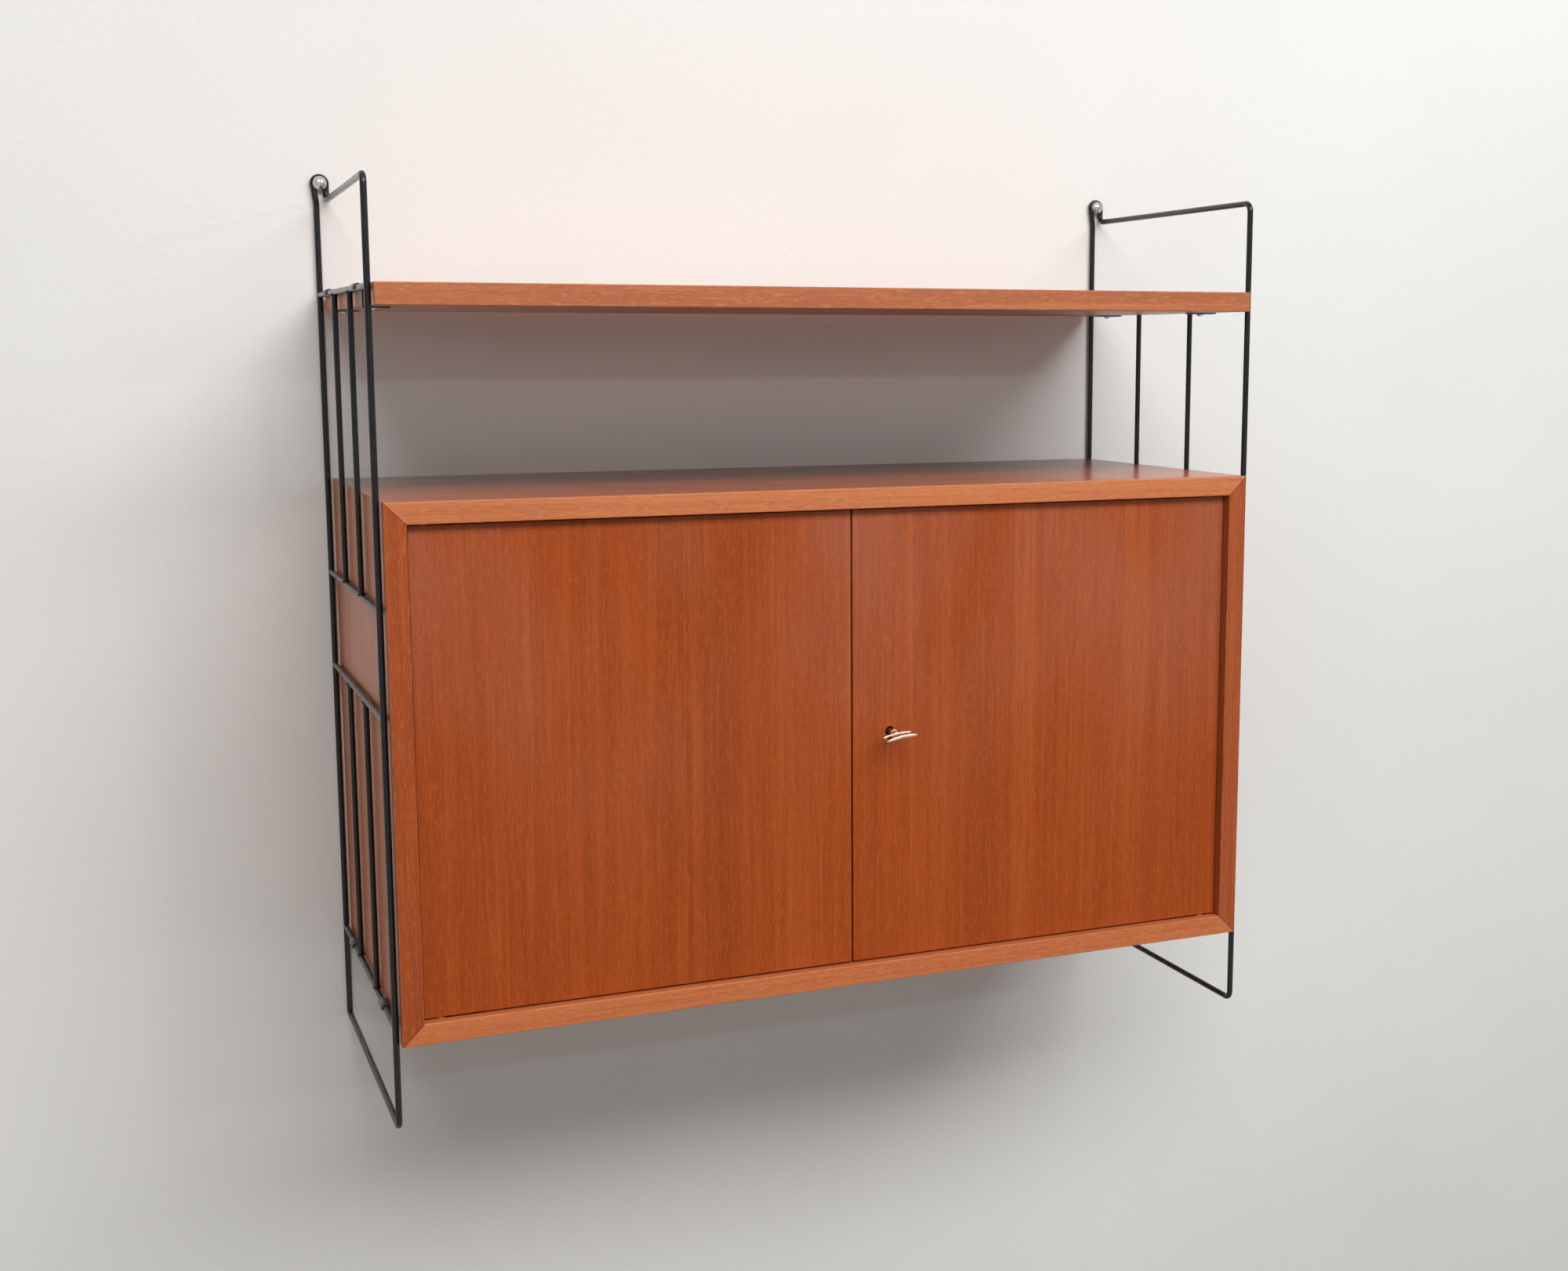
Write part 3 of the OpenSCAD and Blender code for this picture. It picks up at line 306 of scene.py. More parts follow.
def choose(test):
    """In edit mode, selects the vertices whose place passes a test and nothing else."""
    piece = bpy.context.object
    bpy.ops.object.mode_set(mode="OBJECT")
    for vertex in piece.data.vertices:
        vertex.select = test(vertex.co)
    for edge in piece.data.edges:
        edge.select = all(piece.data.vertices[i].select for i in edge.vertices)
    for face in piece.data.polygons:
        face.select = all(piece.data.vertices[i].select for i in face.vertices)
    bpy.ops.object.mode_set(mode="EDIT")


def weld_collar():
    """A collar round Z: thin where it runs out along the rung, flared where it meets the upright.
    It is an open sleeve, whose ends lie against or inside the wire."""
    bpy.ops.object.select_all(action="DESELECT")
    middle = 0.0047
    bpy.ops.mesh.primitive_cylinder_add(vertices=20, radius=0.00262, depth=0.001, end_fill_type="NOTHING",
                                        location=(0, 0, middle))
    collar = bpy.context.object
    bpy.ops.object.transform_apply(location=True)
    bpy.ops.object.mode_set(mode="EDIT")
    bpy.ops.mesh.select_mode(type="VERT")
    choose(lambda co: co.z < middle)
    steps = ((0.0008, 1.02, 1.08), (0.0007, 1.0, 1.15), (0.0007, 0.96, 1.15), (0.0006, 0.82, 1.1))
    for drop, wide, tall in steps:
        bpy.ops.mesh.extrude_region_move(TRANSFORM_OT_translate={"value": (0, 0, -drop)})
        bpy.ops.transform.resize(value=(wide, tall, 1), center_override=(0, 0, 0))
    bpy.ops.mesh.select_all(action="SELECT")
    bpy.ops.mesh.normals_make_consistent(inside=False)
    bpy.ops.object.mode_set(mode="OBJECT")
    rounding = collar.modifiers.new("rounding", "SUBSURF")
    rounding.levels = 1
    rounding.render_levels = 1
    bpy.ops.object.modifier_apply(modifier="rounding")
    return collar


def turned_copy(pattern, at, turn, thin=1.0):
    copy = pattern.copy()
    copy.data = pattern.data.copy()
    bpy.context.scene.collection.objects.link(copy)
    copy.matrix_world = Matrix.Translation(at) @ turn @ Matrix.Diagonal((thin, thin, 1, 1))
    return copy


collar = weld_collar()
to_back = Matrix.Rotation(math.radians(-90), 4, "X")
to_front = Matrix.Rotation(math.radians(90), 4, "X")
upward = Matrix.Rotation(math.radians(90), 4, "Z")
downward = Matrix.Rotation(math.radians(180), 4, "Y") @ upward
rung_gaps = (0.0, 0.256, 0.344, 0.600)
wire_radius, rung_radius, rod_radius = 0.0027, 0.0026, 0.0025
weld_lacquer = lacquer_material("weld_lacquer", (0.2, 0.1, 0.4), Wear=0.15)
for side in ("left", "right"):
    rung_low, rung_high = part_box(side + "_ladder_rungs")
    plane_x = (rung_low.x + rung_high.x) / 2
    front_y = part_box(side + "_ladder_wire")[0].y + wire_radius
    back_y = -0.00272
    rung_heights = [rung_high.z - rung_radius - gap for gap in rung_gaps]
    rod_low, rod_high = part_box(side + "_ladder_rods")
    welds = []
    for height in rung_heights:
        welds.append(turned_copy(collar, (plane_x, front_y, height), to_back))
        welds.append(turned_copy(collar, (plane_x, back_y, height), to_front))
    for rod_y in (rod_low.y + rod_radius, rod_high.y - rod_radius):
        for upper, lower in ((0, 1), (2, 3)):
            welds.append(turned_copy(collar, (plane_x, rod_y, rung_heights[upper]), downward, 0.96))
            welds.append(turned_copy(collar, (plane_x, rod_y, rung_heights[lower]), upward, 0.96))
    join_onto(welds[0], welds[1:])
    finish_piece(welds[0], side + "_ladder_welds", weld_lacquer, "frame", 60)
bpy.data.objects.remove(collar)


# The wall screws: zinc-plated steel with a domed cross-recess head that holds a ladder's eye. The
# part inside the wall has a rolled thread on a thinner core and ends in a gimlet point.
def bright_metal_group():
    """Bright metal: fine scratches drawn along Z, cloudy tarnish, dark grime and pinpoint spots."""
    tree, given, result = new_group("bright_metal", [
        ("Vector", "Vector", None), ("Metal", "Color", (0.7, 0.7, 0.69, 1)),
        ("Tarnish", "Color", (0.35, 0.32, 0.28, 1)), ("Age", "Float", 0.4), ("Roughness", "Float", 0.3)],
        [("Color", "Color"), ("Roughness", "Float"), ("Height", "Float")])
    scratches = stretched_noise(tree, given["Vector"], (3800, 3800, 120), 2.0)
    clouds = stretched_noise(tree, given["Vector"], (210, 210, 210), 4.0, 0.6)
    spots = stretched_noise(tree, given["Vector"], (1900, 1900, 1900), 2.0)
    clouded = combine(tree, "MULTIPLY", between(tree, clouds, 0.42, 0.7), given["Age"])
    spotted = combine(tree, "MULTIPLY", between(tree, spots, 0.66, 0.74), given["Age"])
    colour = blend(tree, clouded, given["Metal"], given["Tarnish"])
    colour = blend(tree, spotted, colour, (0.08, 0.06, 0.045, 1))
    colour = blend(tree, between(tree, scratches, 0.5, 0.85, 0.0, 0.25), colour, (0.9, 0.9, 0.88, 1))
    tree.links.new(colour, result["Color"])
    rough = combine(tree, "ADD", given["Roughness"], between(tree, scratches, 0.3, 0.75, -0.06, 0.08))
    rough = combine(tree, "ADD", rough, combine(tree, "MULTIPLY", clouded, 0.2))
    tree.links.new(rough, result["Roughness"])
    tree.links.new(scratches, result["Height"])
    return tree


BRIGHT_METAL = bright_metal_group()


def metal_material(name, turn=(0, 0, 0), shift=(0, 0, 0), **values):
    material, tree = new_material(name)
    coords = place(tree, "TexCoord").outputs["Object"]
    laid = place(tree, "Mapping", {"Vector": coords, "Rotation": turn, "Location": shift})
    metal = use_group(tree, BRIGHT_METAL, laid.outputs[0], values)
    relief = place(tree, "Bump", {"Height": metal["Height"], "Strength": 0.12, "Distance": 0.00004})
    surface = place(tree, "BsdfPrincipled", {
        "Base Color": metal["Color"], "Roughness": metal["Roughness"], "Metallic": 1.0,
        "Normal": relief.outputs["Normal"]})
    place(tree, "OutputMaterial", {"Surface": surface.outputs[0]})
    return material


zinc = metal_material("screw_zinc", Roughness=0.24, Age=0.3)


def screw_thread(core, crest, pitch, turns, point):
    """A threaded core from z = 0 upwards, with a pointed tip; the crests reach the crest radius.
    Known fault: each turn has only its upper flank, because the wound line runs along the core and
    then to the crest. The crest is an open edge."""
    bpy.ops.object.select_all(action="DESELECT")
    bpy.ops.mesh.primitive_plane_add(size=1, location=(0, 0, 0))
    thread = bpy.context.object
    bpy.ops.object.mode_set(mode="EDIT")
    bpy.ops.mesh.select_all(action="SELECT")
    bpy.ops.mesh.delete(type="ONLY_FACE")
    choose(lambda co: co.x < 0 and co.y < 0)
    bpy.ops.mesh.delete(type="VERT")
    bpy.ops.object.mode_set(mode="OBJECT")
    places = ((core, -0.5), (crest, -0.06), (core, 0.5))
    for vertex, (radius, height) in zip(thread.data.vertices, places):
        vertex.co = (radius, 0, height * pitch)
    winding = thread.modifiers.new("winding", "SCREW")
    winding.axis = "Z"
    winding.steps = 20
    winding.render_steps = 20
    winding.screw_offset = pitch
    winding.iterations = turns
    bpy.ops.object.modifier_apply(modifier="winding")
    length = pitch * turns
    for vertex in thread.data.vertices:
        left = (length - vertex.co.z) / point
        if left < 1:
            shrink = max(left, 0.08)
            vertex.co.x *= shrink
            vertex.co.y *= shrink
    bpy.ops.object.mode_set(mode="EDIT")
    bpy.ops.mesh.select_all(action="SELECT")
    bpy.ops.mesh.remove_doubles(threshold=0.00001)
    bpy.ops.mesh.fill_holes(sides=0)
    bpy.ops.mesh.normals_make_consistent(inside=False)
    bpy.ops.object.mode_set(mode="OBJECT")
    return thread


def merged_copy(name):
    """A copy of a CAD node with its loose triangles merged and its flat faces made whole."""
    source = frame["nodes"][name]
    copy = bpy.data.objects.new(name + "_copy", source.data.copy())
    bpy.context.scene.collection.objects.link(copy)
    bpy.ops.object.select_all(action="DESELECT")
    copy.select_set(True)
    bpy.context.view_layer.objects.active = copy
    bpy.ops.object.mode_set(mode="EDIT")
    bpy.ops.mesh.select_all(action="SELECT")
    bpy.ops.mesh.customdata_custom_splitnormals_clear()
    bpy.ops.mesh.remove_doubles(threshold=0.000002)
    bpy.ops.mesh.dissolve_limited(angle_limit=math.radians(0.3))
    bpy.ops.object.mode_set(mode="OBJECT")
    return copy


head_radius, neck_end, thread_start = 0.006, 0.0004, 0.0016
wall_screws = merged_copy("wall_screws")
bpy.ops.object.mode_set(mode="EDIT")
bpy.ops.mesh.select_all(action="SELECT")
bpy.ops.mesh.bisect(plane_co=(0, neck_end, 0), plane_no=(0, 1, 0), clear_outer=True, clear_inner=False,
                    use_fill=False)
bpy.ops.object.mode_set(mode="OBJECT")
screw_low, screw_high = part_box("wall_screws")
thread_pattern = screw_thread(core=0.0017, crest=0.00249, pitch=0.0022, turns=19, point=0.007)
threads = [turned_copy(thread_pattern, (x, thread_start, 0), to_back)
           for x in (screw_low.x + head_radius, screw_high.x - head_radius)]
bpy.data.objects.remove(thread_pattern)
join_onto(wall_screws, threads)
finish_piece(wall_screws, "wall_screws_threaded", zinc, "frame", 30)
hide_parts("wall_screws")


# The shelf: an 18 mm board with red-brown veneer on both faces and a solid lipping in front,
# finished with a thin satin lacquer. It lies on the hooks under its ends and is screwed to them.
def veneer_group():
    """Straight red-brown veneer with its grain along Z: bands, streaks, fine lines, pores and flecks."""
    tree, given, result = new_group("veneer", [
        ("Vector", "Vector", None), ("Base", "Color", (0.42, 0.078, 0.014, 1)),
        ("Dark", "Color", (0.27, 0.045, 0.008, 1)), ("Light", "Color", (0.55, 0.13, 0.028, 1)),
        ("Bands", "Float", 0.35), ("Lines", "Float", 0.5), ("Flecks", "Float", 0.5),
        ("Roughness", "Float", 0.4)],
        [("Color", "Color"), ("Roughness", "Float"), ("Height", "Float")])
    drift = place(tree, "Mapping", {"Vector": given["Vector"], "Scale": (5.0, 5.0, 1.6)})
    wander = place(tree, "TexNoise", {"Vector": drift.outputs[0], "Scale": 1.0, "Detail": 2.0})
    push = place(tree, "VectorMath", {0: wander.outputs["Color"], 1: (0.5, 0.5, 0.5)}, operation="SUBTRACT")
    push_by = place(tree, "VectorMath", {0: push.outputs[0], 1: (0.012, 0.012, 0.0)}, operation="MULTIPLY")
    grain = place(tree, "VectorMath", {0: given["Vector"], 1: push_by.outputs[0]}, operation="ADD").outputs[0]
    bands = stretched_noise(tree, grain, (17, 17, 0.5), 1.0)
    streaks = stretched_noise(tree, grain, (95, 95, 1.3), 3.0, 0.6)
    lines = stretched_noise(tree, grain, (380, 380, 9), 3.0, 0.65)
    pores = stretched_noise(tree, grain, (1250, 1250, 130), 2.0)
    flecks = stretched_noise(tree, grain, (950, 950, 120), 1.0)
    layers = ((bands, 0.45, 0.7, "Bands", 1.0, "Dark"), (bands, 0.45, 0.25, "Bands", 1.0, "Light"),
              (streaks, 0.48, 0.75, "Lines", 0.8, "Dark"), (streaks, 0.46, 0.28, "Lines", 0.7, "Light"),
              (lines, 0.48, 0.7, "Lines", 1.0, "Dark"), (lines, 0.46, 0.3, "Lines", 0.6, "Light"),
              (pores, 0.5, 0.7, "Flecks", 1.0, "Dark"), (flecks, 0.52, 0.7, "Flecks", 1.0, "Light"))
    colour = given["Base"]
    for pattern, low, high, amount, share, tone in layers:
        strength = combine(tree, "MULTIPLY", given[amount], share)
        shown = combine(tree, "MULTIPLY", between(tree, pattern, low, high), strength)
        colour = blend(tree, shown, colour, given[tone])
    tree.links.new(colour, result["Color"])
    tree.links.new(combine(tree, "ADD", between(tree, lines, 0.3, 0.7, -0.04, 0.05), given["Roughness"]),
                   result["Roughness"])
    tree.links.new(between(tree, pores, 0.55, 0.75, 1.0, 0.0), result["Height"])
    return tree


def arris_group():
    """How near a point on a board is to its arrises: 1 on the edge, 0 beyond the width, broken up."""
    tree, given, result = new_group("arris", [
        ("Vector", "Vector", None), ("Low", "Vector", None), ("High", "Vector", None),
        ("Width", "Float", 0.0011)], [("Mask", "Float")])
    from_low = place(tree, "VectorMath", {0: given["Vector"], 1: given["Low"]}, operation="SUBTRACT")
    from_high = place(tree, "VectorMath", {0: given["High"], 1: given["Vector"]}, operation="SUBTRACT")
    nearest = place(tree, "VectorMath", {0: from_low.outputs[0], 1: from_high.outputs[0]},
                    operation="MINIMUM")
    parts = place(tree, "SeparateXYZ", {"Vector": nearest.outputs[0]}).outputs
    smaller = combine(tree, "MINIMUM", parts[0], parts[1])
    larger = combine(tree, "MAXIMUM", parts[0], parts[1])
    second = combine(tree, "MAXIMUM", smaller, combine(tree, "MINIMUM", larger, parts[2]))
    broken = stretched_noise(tree, given["Vector"], (55, 55, 55), 4.0, 0.65)
    reach = combine(tree, "MULTIPLY", between(tree, broken, 0.3, 0.75, 0.35, 1.3), given["Width"])
    share = combine(tree, "DIVIDE", second, reach)
    tree.links.new(between(tree, share, 1.0, 0.2), result["Mask"])
    return tree


VENEER = veneer_group()
ARRIS = arris_group()
ALONG_X = (0, math.radians(90), 0)
ALONG_Y = (math.radians(90), 0, 0)
ALONG_Z = (0, 0, 0)


def veneer_material(name, node, zones, worn=(0.6, 0.24, 0.1, 1), wear=0.4, painted_sheen=0.0, mitre=None,
                    shine=0.25, painted_back_shade=0.0):
    """Veneer in zones. A zone is (axis, from, to, turn, shift, values); the first covers everything.
    The pale pinkish haze, denser towards the top of a piece, is a painted sheen.
    The darkening towards the back takes the colour to a near-black brown: painted shade, for the shade under
    the shelf above. It stands in for a dark tone whose cause is not known, and seen from behind it makes the
    board look nearly black."""
    material, tree = new_material(name)
    coords = place(tree, "TexCoord").outputs["Object"]
    axes = place(tree, "SeparateXYZ", {"Vector": coords}).outputs
    colour = rough = height = None
    for axis, low, high, turn, shift, values in zones:
        laid = place(tree, "Mapping", {"Vector": coords, "Rotation": turn, "Location": shift})
        wood = use_group(tree, VENEER, laid.outputs[0], values)
        if colour is None:
            colour, rough, height = wood["Color"], wood["Roughness"], wood["Height"]
            continue
        inside = place(tree, "Math", {0: axes["XYZ".index(axis)], 1: (low + high) / 2,
                                      2: (high - low) / 2}, operation="COMPARE").outputs[0]
        colour = blend(tree, inside, colour, wood["Color"])
        rough = place(tree, "Mix", {0: inside, 2: rough, 3: wood["Roughness"]}, data_type="FLOAT").outputs[0]
        height = place(tree, "Mix", {0: inside, 2: height, 3: wood["Height"]}, data_type="FLOAT").outputs[0]
    low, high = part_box(node)
    # Painted shade: the colour darkens towards the back of the board, as under the shelf above.
    if painted_back_shade:
        back_shade_mask = between(tree, axes[1], low.y + 0.02, high.y - 0.05, 0.0, painted_back_shade)
        colour = blend(tree, back_shade_mask, colour, (0.085, 0.028, 0.012, 1))
    edge = tree.nodes.new("ShaderNodeGroup")
    edge.node_tree = ARRIS
    tree.links.new(coords, edge.inputs["Vector"])
    edge.inputs["Low"].default_value = low
    edge.inputs["High"].default_value = high
    colour = blend(tree, combine(tree, "MULTIPLY", edge.outputs["Mask"], wear), colour, worn)
    if mitre:
        inward = []
        for axis, (middle, half) in zip((axes[0], axes[2]), mitre):
            away = place(tree, "Math", {0: combine(tree, "SUBTRACT", axis, middle)}, operation="ABSOLUTE")
            inward.append(combine(tree, "SUBTRACT", half, away.outputs[0]))
        off = place(tree, "Math", {0: combine(tree, "SUBTRACT", *inward)}, operation="ABSOLUTE")
        joint = between(tree, off.outputs[0], 0.0009, 0.0002, 0.0, 0.75)
        colour = blend(tree, joint, colour, (0.07, 0.02, 0.008, 1))
    # Painted sheen: a pale pinkish haze, denser towards the top of the piece.
    if painted_sheen:
        cloud = stretched_noise(tree, coords, (6, 6, 3.5), 2.0)
        rise = between(tree, axes[2], low.z + 0.12 * (high.z - low.z), high.z)
        sheen_mask = combine(tree, "MULTIPLY", rise, between(tree, cloud, 0.35, 0.68, 0.0, 2.4 * painted_sheen))
        colour = blend(tree, sheen_mask, colour, (0.62, 0.42, 0.36, 1))
    relief = place(tree, "Bump", {"Height": height, "Strength": 0.25, "Distance": 0.0002})
    surface = place(tree, "BsdfPrincipled", {
        "Base Color": colour, "Roughness": rough, "Specular IOR Level": shine,
        "Normal": relief.outputs["Normal"]})
    place(tree, "OutputMaterial", {"Surface": surface.outputs[0]})
    return material


FACE = {"Base": (0.42, 0.12, 0.04, 1), "Dark": (0.26, 0.065, 0.02, 1), "Light": (0.55, 0.19, 0.075, 1),
        "Roughness": 0.34}
EDGE = {"Base": (0.54, 0.155, 0.052, 1), "Dark": (0.38, 0.092, 0.027, 1), "Light": (0.63, 0.22, 0.085, 1),
        "Roughness": 0.42, "Bands": 0.5}
skin, beyond = 0.0007, 0.01
shelf_low, shelf_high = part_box("shelf")
dress(veneer_material("shelf_veneer", "shelf", [
    (None, 0, 0, ALONG_X, (0.3, 0.2, 0.1), FACE),
    ("X", shelf_low.x - beyond, shelf_low.x + skin, ALONG_Y, (0.1, 0.3, 0.2), EDGE),
    ("X", shelf_high.x - skin, shelf_high.x + beyond, ALONG_Y, (0.5, 0.1, 0.4), EDGE),
    ("Y", shelf_low.y - beyond, shelf_low.y + 0.006, ALONG_X, (0.7, 0.5, 0.3),
     dict(EDGE, Base=(0.475, 0.152, 0.067, 1), Dark=(0.34, 0.095, 0.036, 1), Bands=0.7))]), "shelf")


# The hooks: strips of 1.2 mm sheet steel, folded and curled over a rung. They are lacquered black
# like the ladders but are more worn, and each is held by one pan-head screw.
def round_edges(piece, width, segments, sharp):
    rounding = piece.modifiers.new("rounding", "BEVEL")
    rounding.width = width
    rounding.segments = segments
    rounding.limit_method = "ANGLE"
    rounding.angle_limit = math.radians(sharp)
    rounding.use_clamp_overlap = True
    bpy.ops.object.modifier_apply(modifier="rounding")


def softened_copy(name, width, segments=2):
    """A CAD node's shape with its sharp edges rounded a little, as a separate piece."""
    copy = merged_copy(name)
    round_edges(copy, width, segments, 38)
    return copy


hook_lacquer = lacquer_material("hook_lacquer", (0.5, 0.3, 0.2), Coat=(0.05, 0.05, 0.051, 1), Wear=0.9,
                                Roughness=0.33)
for name in ("shelf_hooks", "cabinet_hooks"):
    hooks = softened_copy(name, 0.00022)
    finish_piece(hooks, name + "_curled", hook_lacquer, "frame")
    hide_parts(name)
dress(metal_material("hook_screw_zinc", ALONG_Z, (0.3, 0.1, 0.2), Roughness=0.28, Age=0.45),
      "shelf_hook_screws", "cabinet_hook_screws")


# The cabinet's carcass: four 18 mm boards mitred at the corners and glued, veneered outside and
# inside, with lighter lippings on their front edges. The back edges are rebated for the back. The
# top is polished, and its colour darkens towards the back: painted shade, as under the shelf above.
top_low, top_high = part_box("cabinet_top")
bottom_low, bottom_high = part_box("cabinet_bottom")
middle_x = (top_low.x + top_high.x) / 2
middle_z = (bottom_low.z + top_high.z) / 2
mitres = ((middle_x, (top_high.x - top_low.x) / 2), (middle_z, (top_high.z - bottom_low.z) / 2))
front = top_low.y
lipping = 0.008
POLISHED = {"Base": (0.47, 0.105, 0.022, 1), "Dark": (0.31, 0.063, 0.013, 1), "Light": (0.58, 0.15, 0.04, 1),
            "Roughness": 0.22}
for name, shift, tone, shine, painted_back_shade in (("cabinet_top", (0.9, 0.2, 0.6), POLISHED, 0.36, 0.9),
                                            ("cabinet_bottom", (0.4, 0.8, 0.2), FACE, 0.25, 0.0)):
    dress(veneer_material(name + "_veneer", name, [
        (None, 0, 0, ALONG_X, shift, tone),
        ("Y", front - beyond, front + lipping, ALONG_X, (shift[1], shift[2], shift[0]), EDGE)],
        mitre=mitres, shine=shine, painted_back_shade=painted_back_shade), name)
STILE = {"Base": (0.36, 0.074, 0.018, 1), "Dark": (0.24, 0.045, 0.011, 1), "Light": (0.46, 0.12, 0.038, 1),
         "Roughness": 0.4, "Lines": 0.6}
REDDER_STILE = dict(STILE, Base=(0.37, 0.068, 0.012, 1))
for name, shift, tone in (("cabinet_left_side", (0.15, 0.75, 0.35), REDDER_STILE),
                          ("cabinet_right_side", (0.65, 0.25, 0.55), STILE)):
    dress(veneer_material(name + "_veneer", name, [
        (None, 0, 0, ALONG_Z, shift, FACE),
        ("Y", front - beyond, front + lipping, ALONG_Z, (shift[1], shift[2], shift[0]), tone)],
        mitre=mitres), name)


# The back: 5 mm board with a plain pale veneer, let into the rebates and nailed round its edge
# with small flat-headed steel nails.
PALE = {"Base": (0.5, 0.33, 0.19, 1), "Dark": (0.38, 0.23, 0.12, 1), "Light": (0.6, 0.43, 0.27, 1),
        "Roughness": 0.62, "Lines": 0.35, "Flecks": 0.2}
dress(veneer_material("back_panel_veneer", "back_panel", [(None, 0, 0, ALONG_X, (0.2, 0.6, 0.7), PALE)],
                      worn=(0.45, 0.3, 0.18, 1), wear=0.3), "back_panel")
dress(metal_material("nail_steel", ALONG_Y, (0.1, 0.2, 0.5), Metal=(0.45, 0.44, 0.42, 1), Roughness=0.42,
                     Age=0.8), "back_panel_nails")


# The inner shelf: 16 mm board, veneered like the carcass, loose on four turned steel pins. The
# door stops are small blocks of the same wood, glued behind the doors.
inner_low, inner_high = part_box("inner_shelf")
dress(veneer_material("inner_shelf_veneer", "inner_shelf", [
    (None, 0, 0, ALONG_X, (0.55, 0.35, 0.15), dict(FACE, Roughness=0.45)),
    ("Y", inner_low.y - beyond, inner_low.y + skin, ALONG_X, (0.25, 0.65, 0.85), EDGE)]), "inner_shelf")
dress(veneer_material("door_stop_wood", "door_stops", [(None, 0, 0, ALONG_X, (0.35, 0.1, 0.8), FACE)],
                      wear=0.3), "door_stops")
dress(metal_material("shelf_pin_steel", ALONG_X, (0.2, 0.4, 0.1), Roughness=0.35, Age=0.5), "shelf_pins")


# The doors: 16 mm boards with straight-grained veneer running up them, cut from one bundle, so
# the figure carries on from one to the other. All their edges are lipped and lacquered.
DOOR = {"Base": (0.35, 0.06, 0.0095, 1), "Dark": (0.245, 0.043, 0.0045, 1), "Light": (0.46, 0.1, 0.019, 1),
        "Roughness": 0.4, "Bands": 0.5, "Lines": 0.6, "Flecks": 0.45}
# The doors carry a pale painted sheen, denser towards their tops.
for name in ("left_door", "right_door"):
    dress(veneer_material(name + "_veneer", name, [(None, 0, 0, ALONG_Z, (0.0, 0.4, 0.9), DOOR)],
                          worn=(0.5, 0.14, 0.04, 1), wear=0.4, painted_sheen=0.038, shine=0.17), name)


# The hinges: brass leaves let into the boards and into the doors' ends, with steel pivot pins,
# brass washers between them and small sunk brass screws.
brass = metal_material("hinge_brass", ALONG_X, (0.1, 0.5, 0.2), Metal=(0.66, 0.48, 0.22, 1),
                       Tarnish=(0.3, 0.19, 0.09, 1), Roughness=0.34, Age=0.6)
steel = metal_material("pivot_steel", ALONG_Z, (0.4, 0.2, 0.3), Metal=(0.55, 0.54, 0.52, 1),
                       Roughness=0.3, Age=0.4)
for name, body in (("hinge_fixed_leaves", "frame"), ("left_door_leaves", "left_door"),
                   ("right_door_leaves", "right_door")):
    leaves = softened_copy(name, 0.00015, 1)
    finish_piece(leaves, name + "_eased", brass, body)
    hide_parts(name)
dress(brass, "hinge_fixed_screws", "hinge_washers", "left_leaf_screws", "right_leaf_screws")
dress(steel, "left_door_pivots", "right_door_pivots")


# The slide bolt on the back of the left door: a brass plate with two bent guides, a drawn bar
# with a turned knob, and a keeper plate let into the underside of the cabinet's top.
for name, body, width in (("slide_bolt_plate", "left_door", 0.0002), ("slide_bolt_bar", "left_bolt", 0.0003),
                          ("slide_bolt_keeper", "frame", 0.00015)):
    fitting = softened_copy(name, width)
    finish_piece(fitting, name + "_eased", brass, body)
    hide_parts(name)
dress(brass, "slide_bolt_screws")


# The lock on the back of the right door: a pressed steel case with screwed lugs, a cast brass
# bolt that the key drives, a bowed click spring, and a folded steel keeper on the left door.
lock_steel = metal_material("lock_steel", ALONG_X, (0.6, 0.1, 0.3), Metal=(0.5, 0.49, 0.47, 1),
                            Tarnish=(0.22, 0.18, 0.14, 1), Roughness=0.4, Age=0.6)
for name, body, material, slot in (
        ("lock_case", "right_door", lock_steel, "lock_steel"),
        ("lock_keeper", "left_door", lock_steel, "lock_steel"),
        ("lock_bolt", "lock_bolt", brass, "brass_fittings")):
    part = softened_copy(name, 0.00025)
    finish_piece(part, name + "_eased", material, body)
    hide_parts(name)
dress(lock_steel, "lock_case_screws", "lock_keeper_screws", "lock_spring")


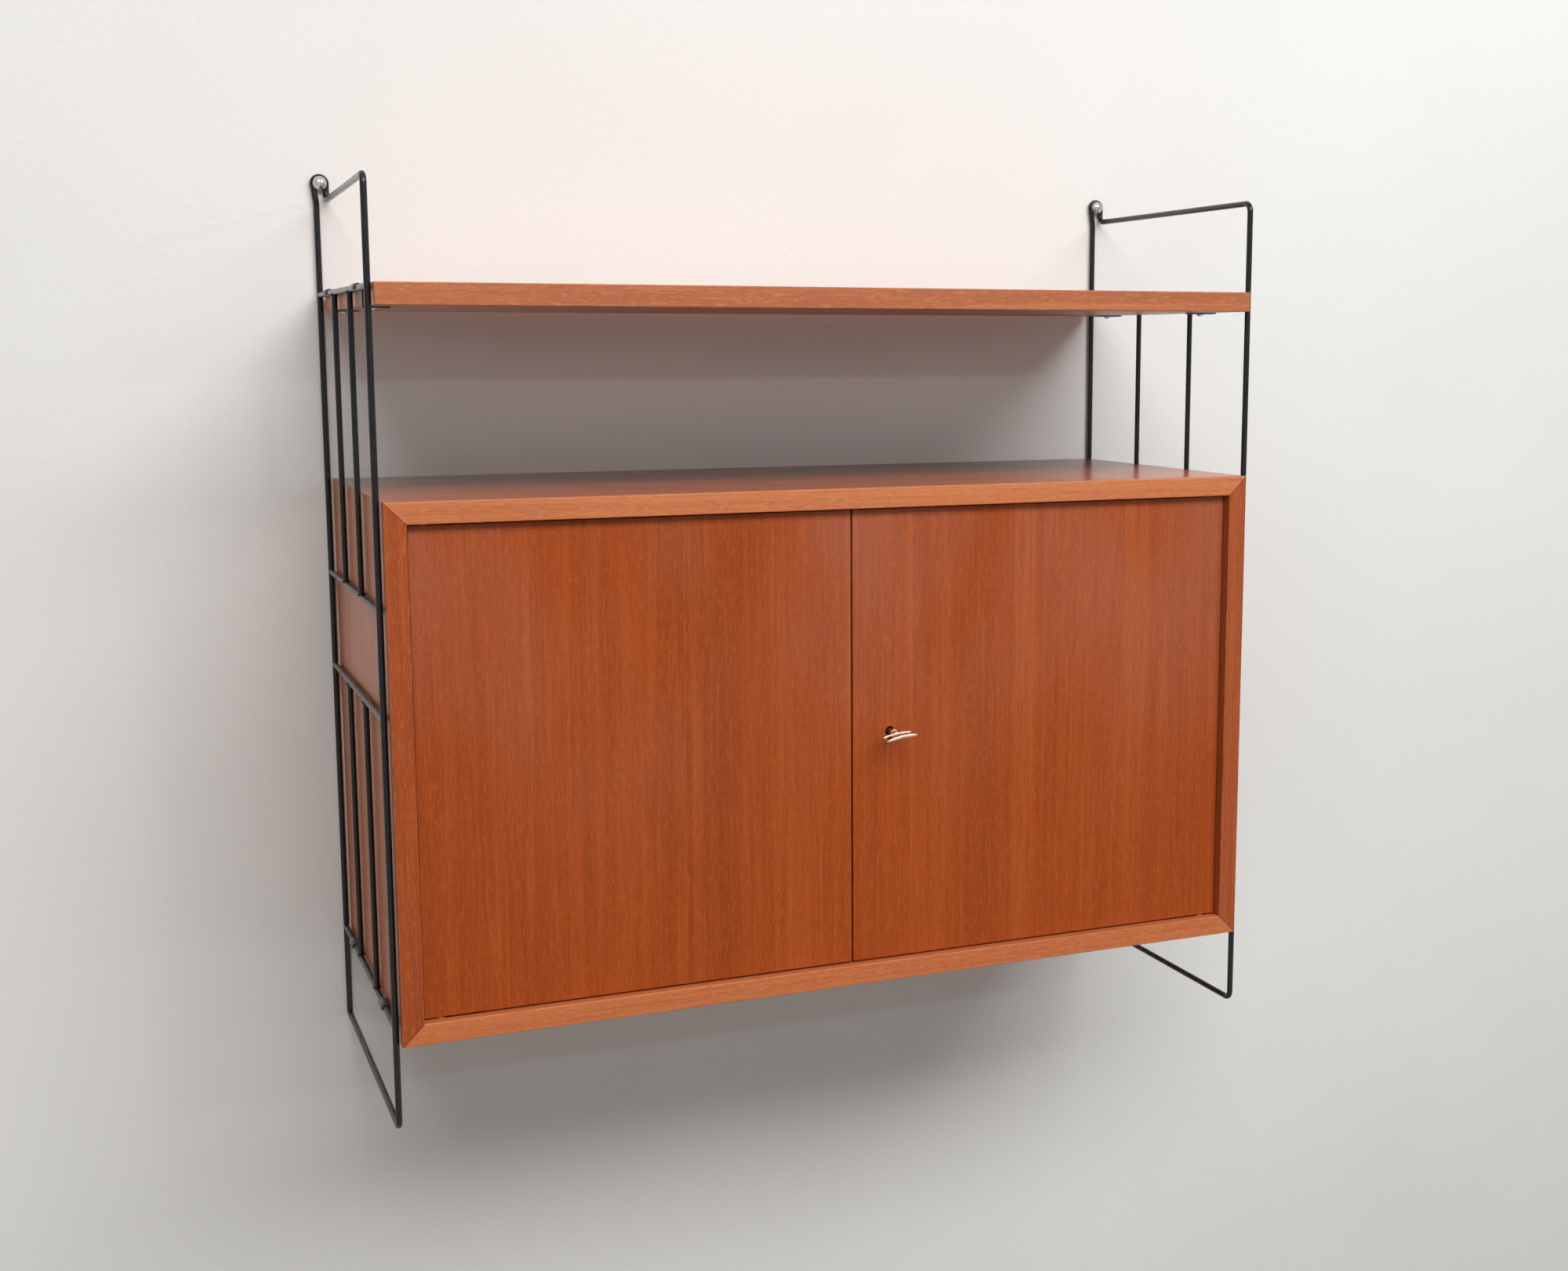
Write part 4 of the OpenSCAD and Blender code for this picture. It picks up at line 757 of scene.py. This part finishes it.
# The key: cast, with a bit, a turned collar and a long bow that is a ring of rounded section. The
# ring is deeper in its middle and bowed upwards. Its brass-coloured metal has browner patches.
key_metal = metal_material("key_metal", ALONG_X, (0.3, 0.3, 0.1), Metal=(0.72, 0.53, 0.37, 1),
                           Tarnish=(0.5, 0.3, 0.14, 1), Roughness=0.36, Age=0.6)
key_axis = next(Vector(joint["pos_m"]) for joint in frame["record"]["behaviour"]["joints"]
                if joint["name"] == "key_turn")
bow_tilt = 8
bow_back, bow_front, bow_half, rail = -0.014, -0.03, 0.0155, 0.0011
shank = merged_copy("key")
bpy.ops.object.mode_set(mode="EDIT")
bpy.ops.mesh.select_all(action="SELECT")
cut_y = key_axis.y + bow_back + 0.0002
bpy.ops.mesh.bisect(plane_co=(0, cut_y, 0), plane_no=(0, -1, 0), clear_outer=True, clear_inner=False,
                    use_fill=True)
choose(lambda co: co.y < cut_y + 0.0001)
bpy.ops.mesh.extrude_region_move(TRANSFORM_OT_translate={"value": (0, -rail, 0)})
bpy.ops.transform.resize(value=(0.8, 1, 0.8), center_override=key_axis)
bpy.ops.object.mode_set(mode="OBJECT")
round_edges(shank, 0.0003, 2, 32)
bpy.ops.object.select_all(action="DESELECT")
bpy.ops.mesh.primitive_circle_add(vertices=96, radius=1, location=(0, 0, 0))
bow_middle, squareness = (bow_back + bow_front) / 2, 0.24
for vertex in bpy.context.object.data.vertices:
    across, along = (math.copysign(abs(value) ** squareness, value) for value in vertex.co.xy)
    vertex.co.x = across * (bow_half - rail)
    vertex.co.y = bow_middle + along * ((bow_back - bow_front) / 2 - rail)
bpy.ops.object.convert(target="CURVE")
bpy.context.object.data.bevel_depth = rail
bpy.context.object.data.bevel_resolution = 4
bpy.ops.object.convert(target="MESH")
bow = bpy.context.object
for vertex in bow.data.vertices:
    from_middle = (vertex.co.x / bow_half) ** 2
    fuller = 0.6 if vertex.co.y < bow_middle else 0.1
    vertex.co.z = vertex.co.z * (1 + fuller * (1 - from_middle)) - 0.0016 * from_middle
bow.matrix_world = Matrix.Translation(key_axis) @ Matrix.Rotation(math.radians(-bow_tilt), 4, "Y")
bpy.ops.object.mode_set(mode="EDIT")
bpy.ops.mesh.select_all(action="SELECT")
bpy.ops.mesh.remove_doubles(threshold=0.000005)
bpy.ops.mesh.normals_make_consistent(inside=False)
bpy.ops.object.mode_set(mode="OBJECT")
join_onto(shank, [bow])
finish_piece(shank, "key_cast", key_metal, "key", 40)
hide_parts("key")
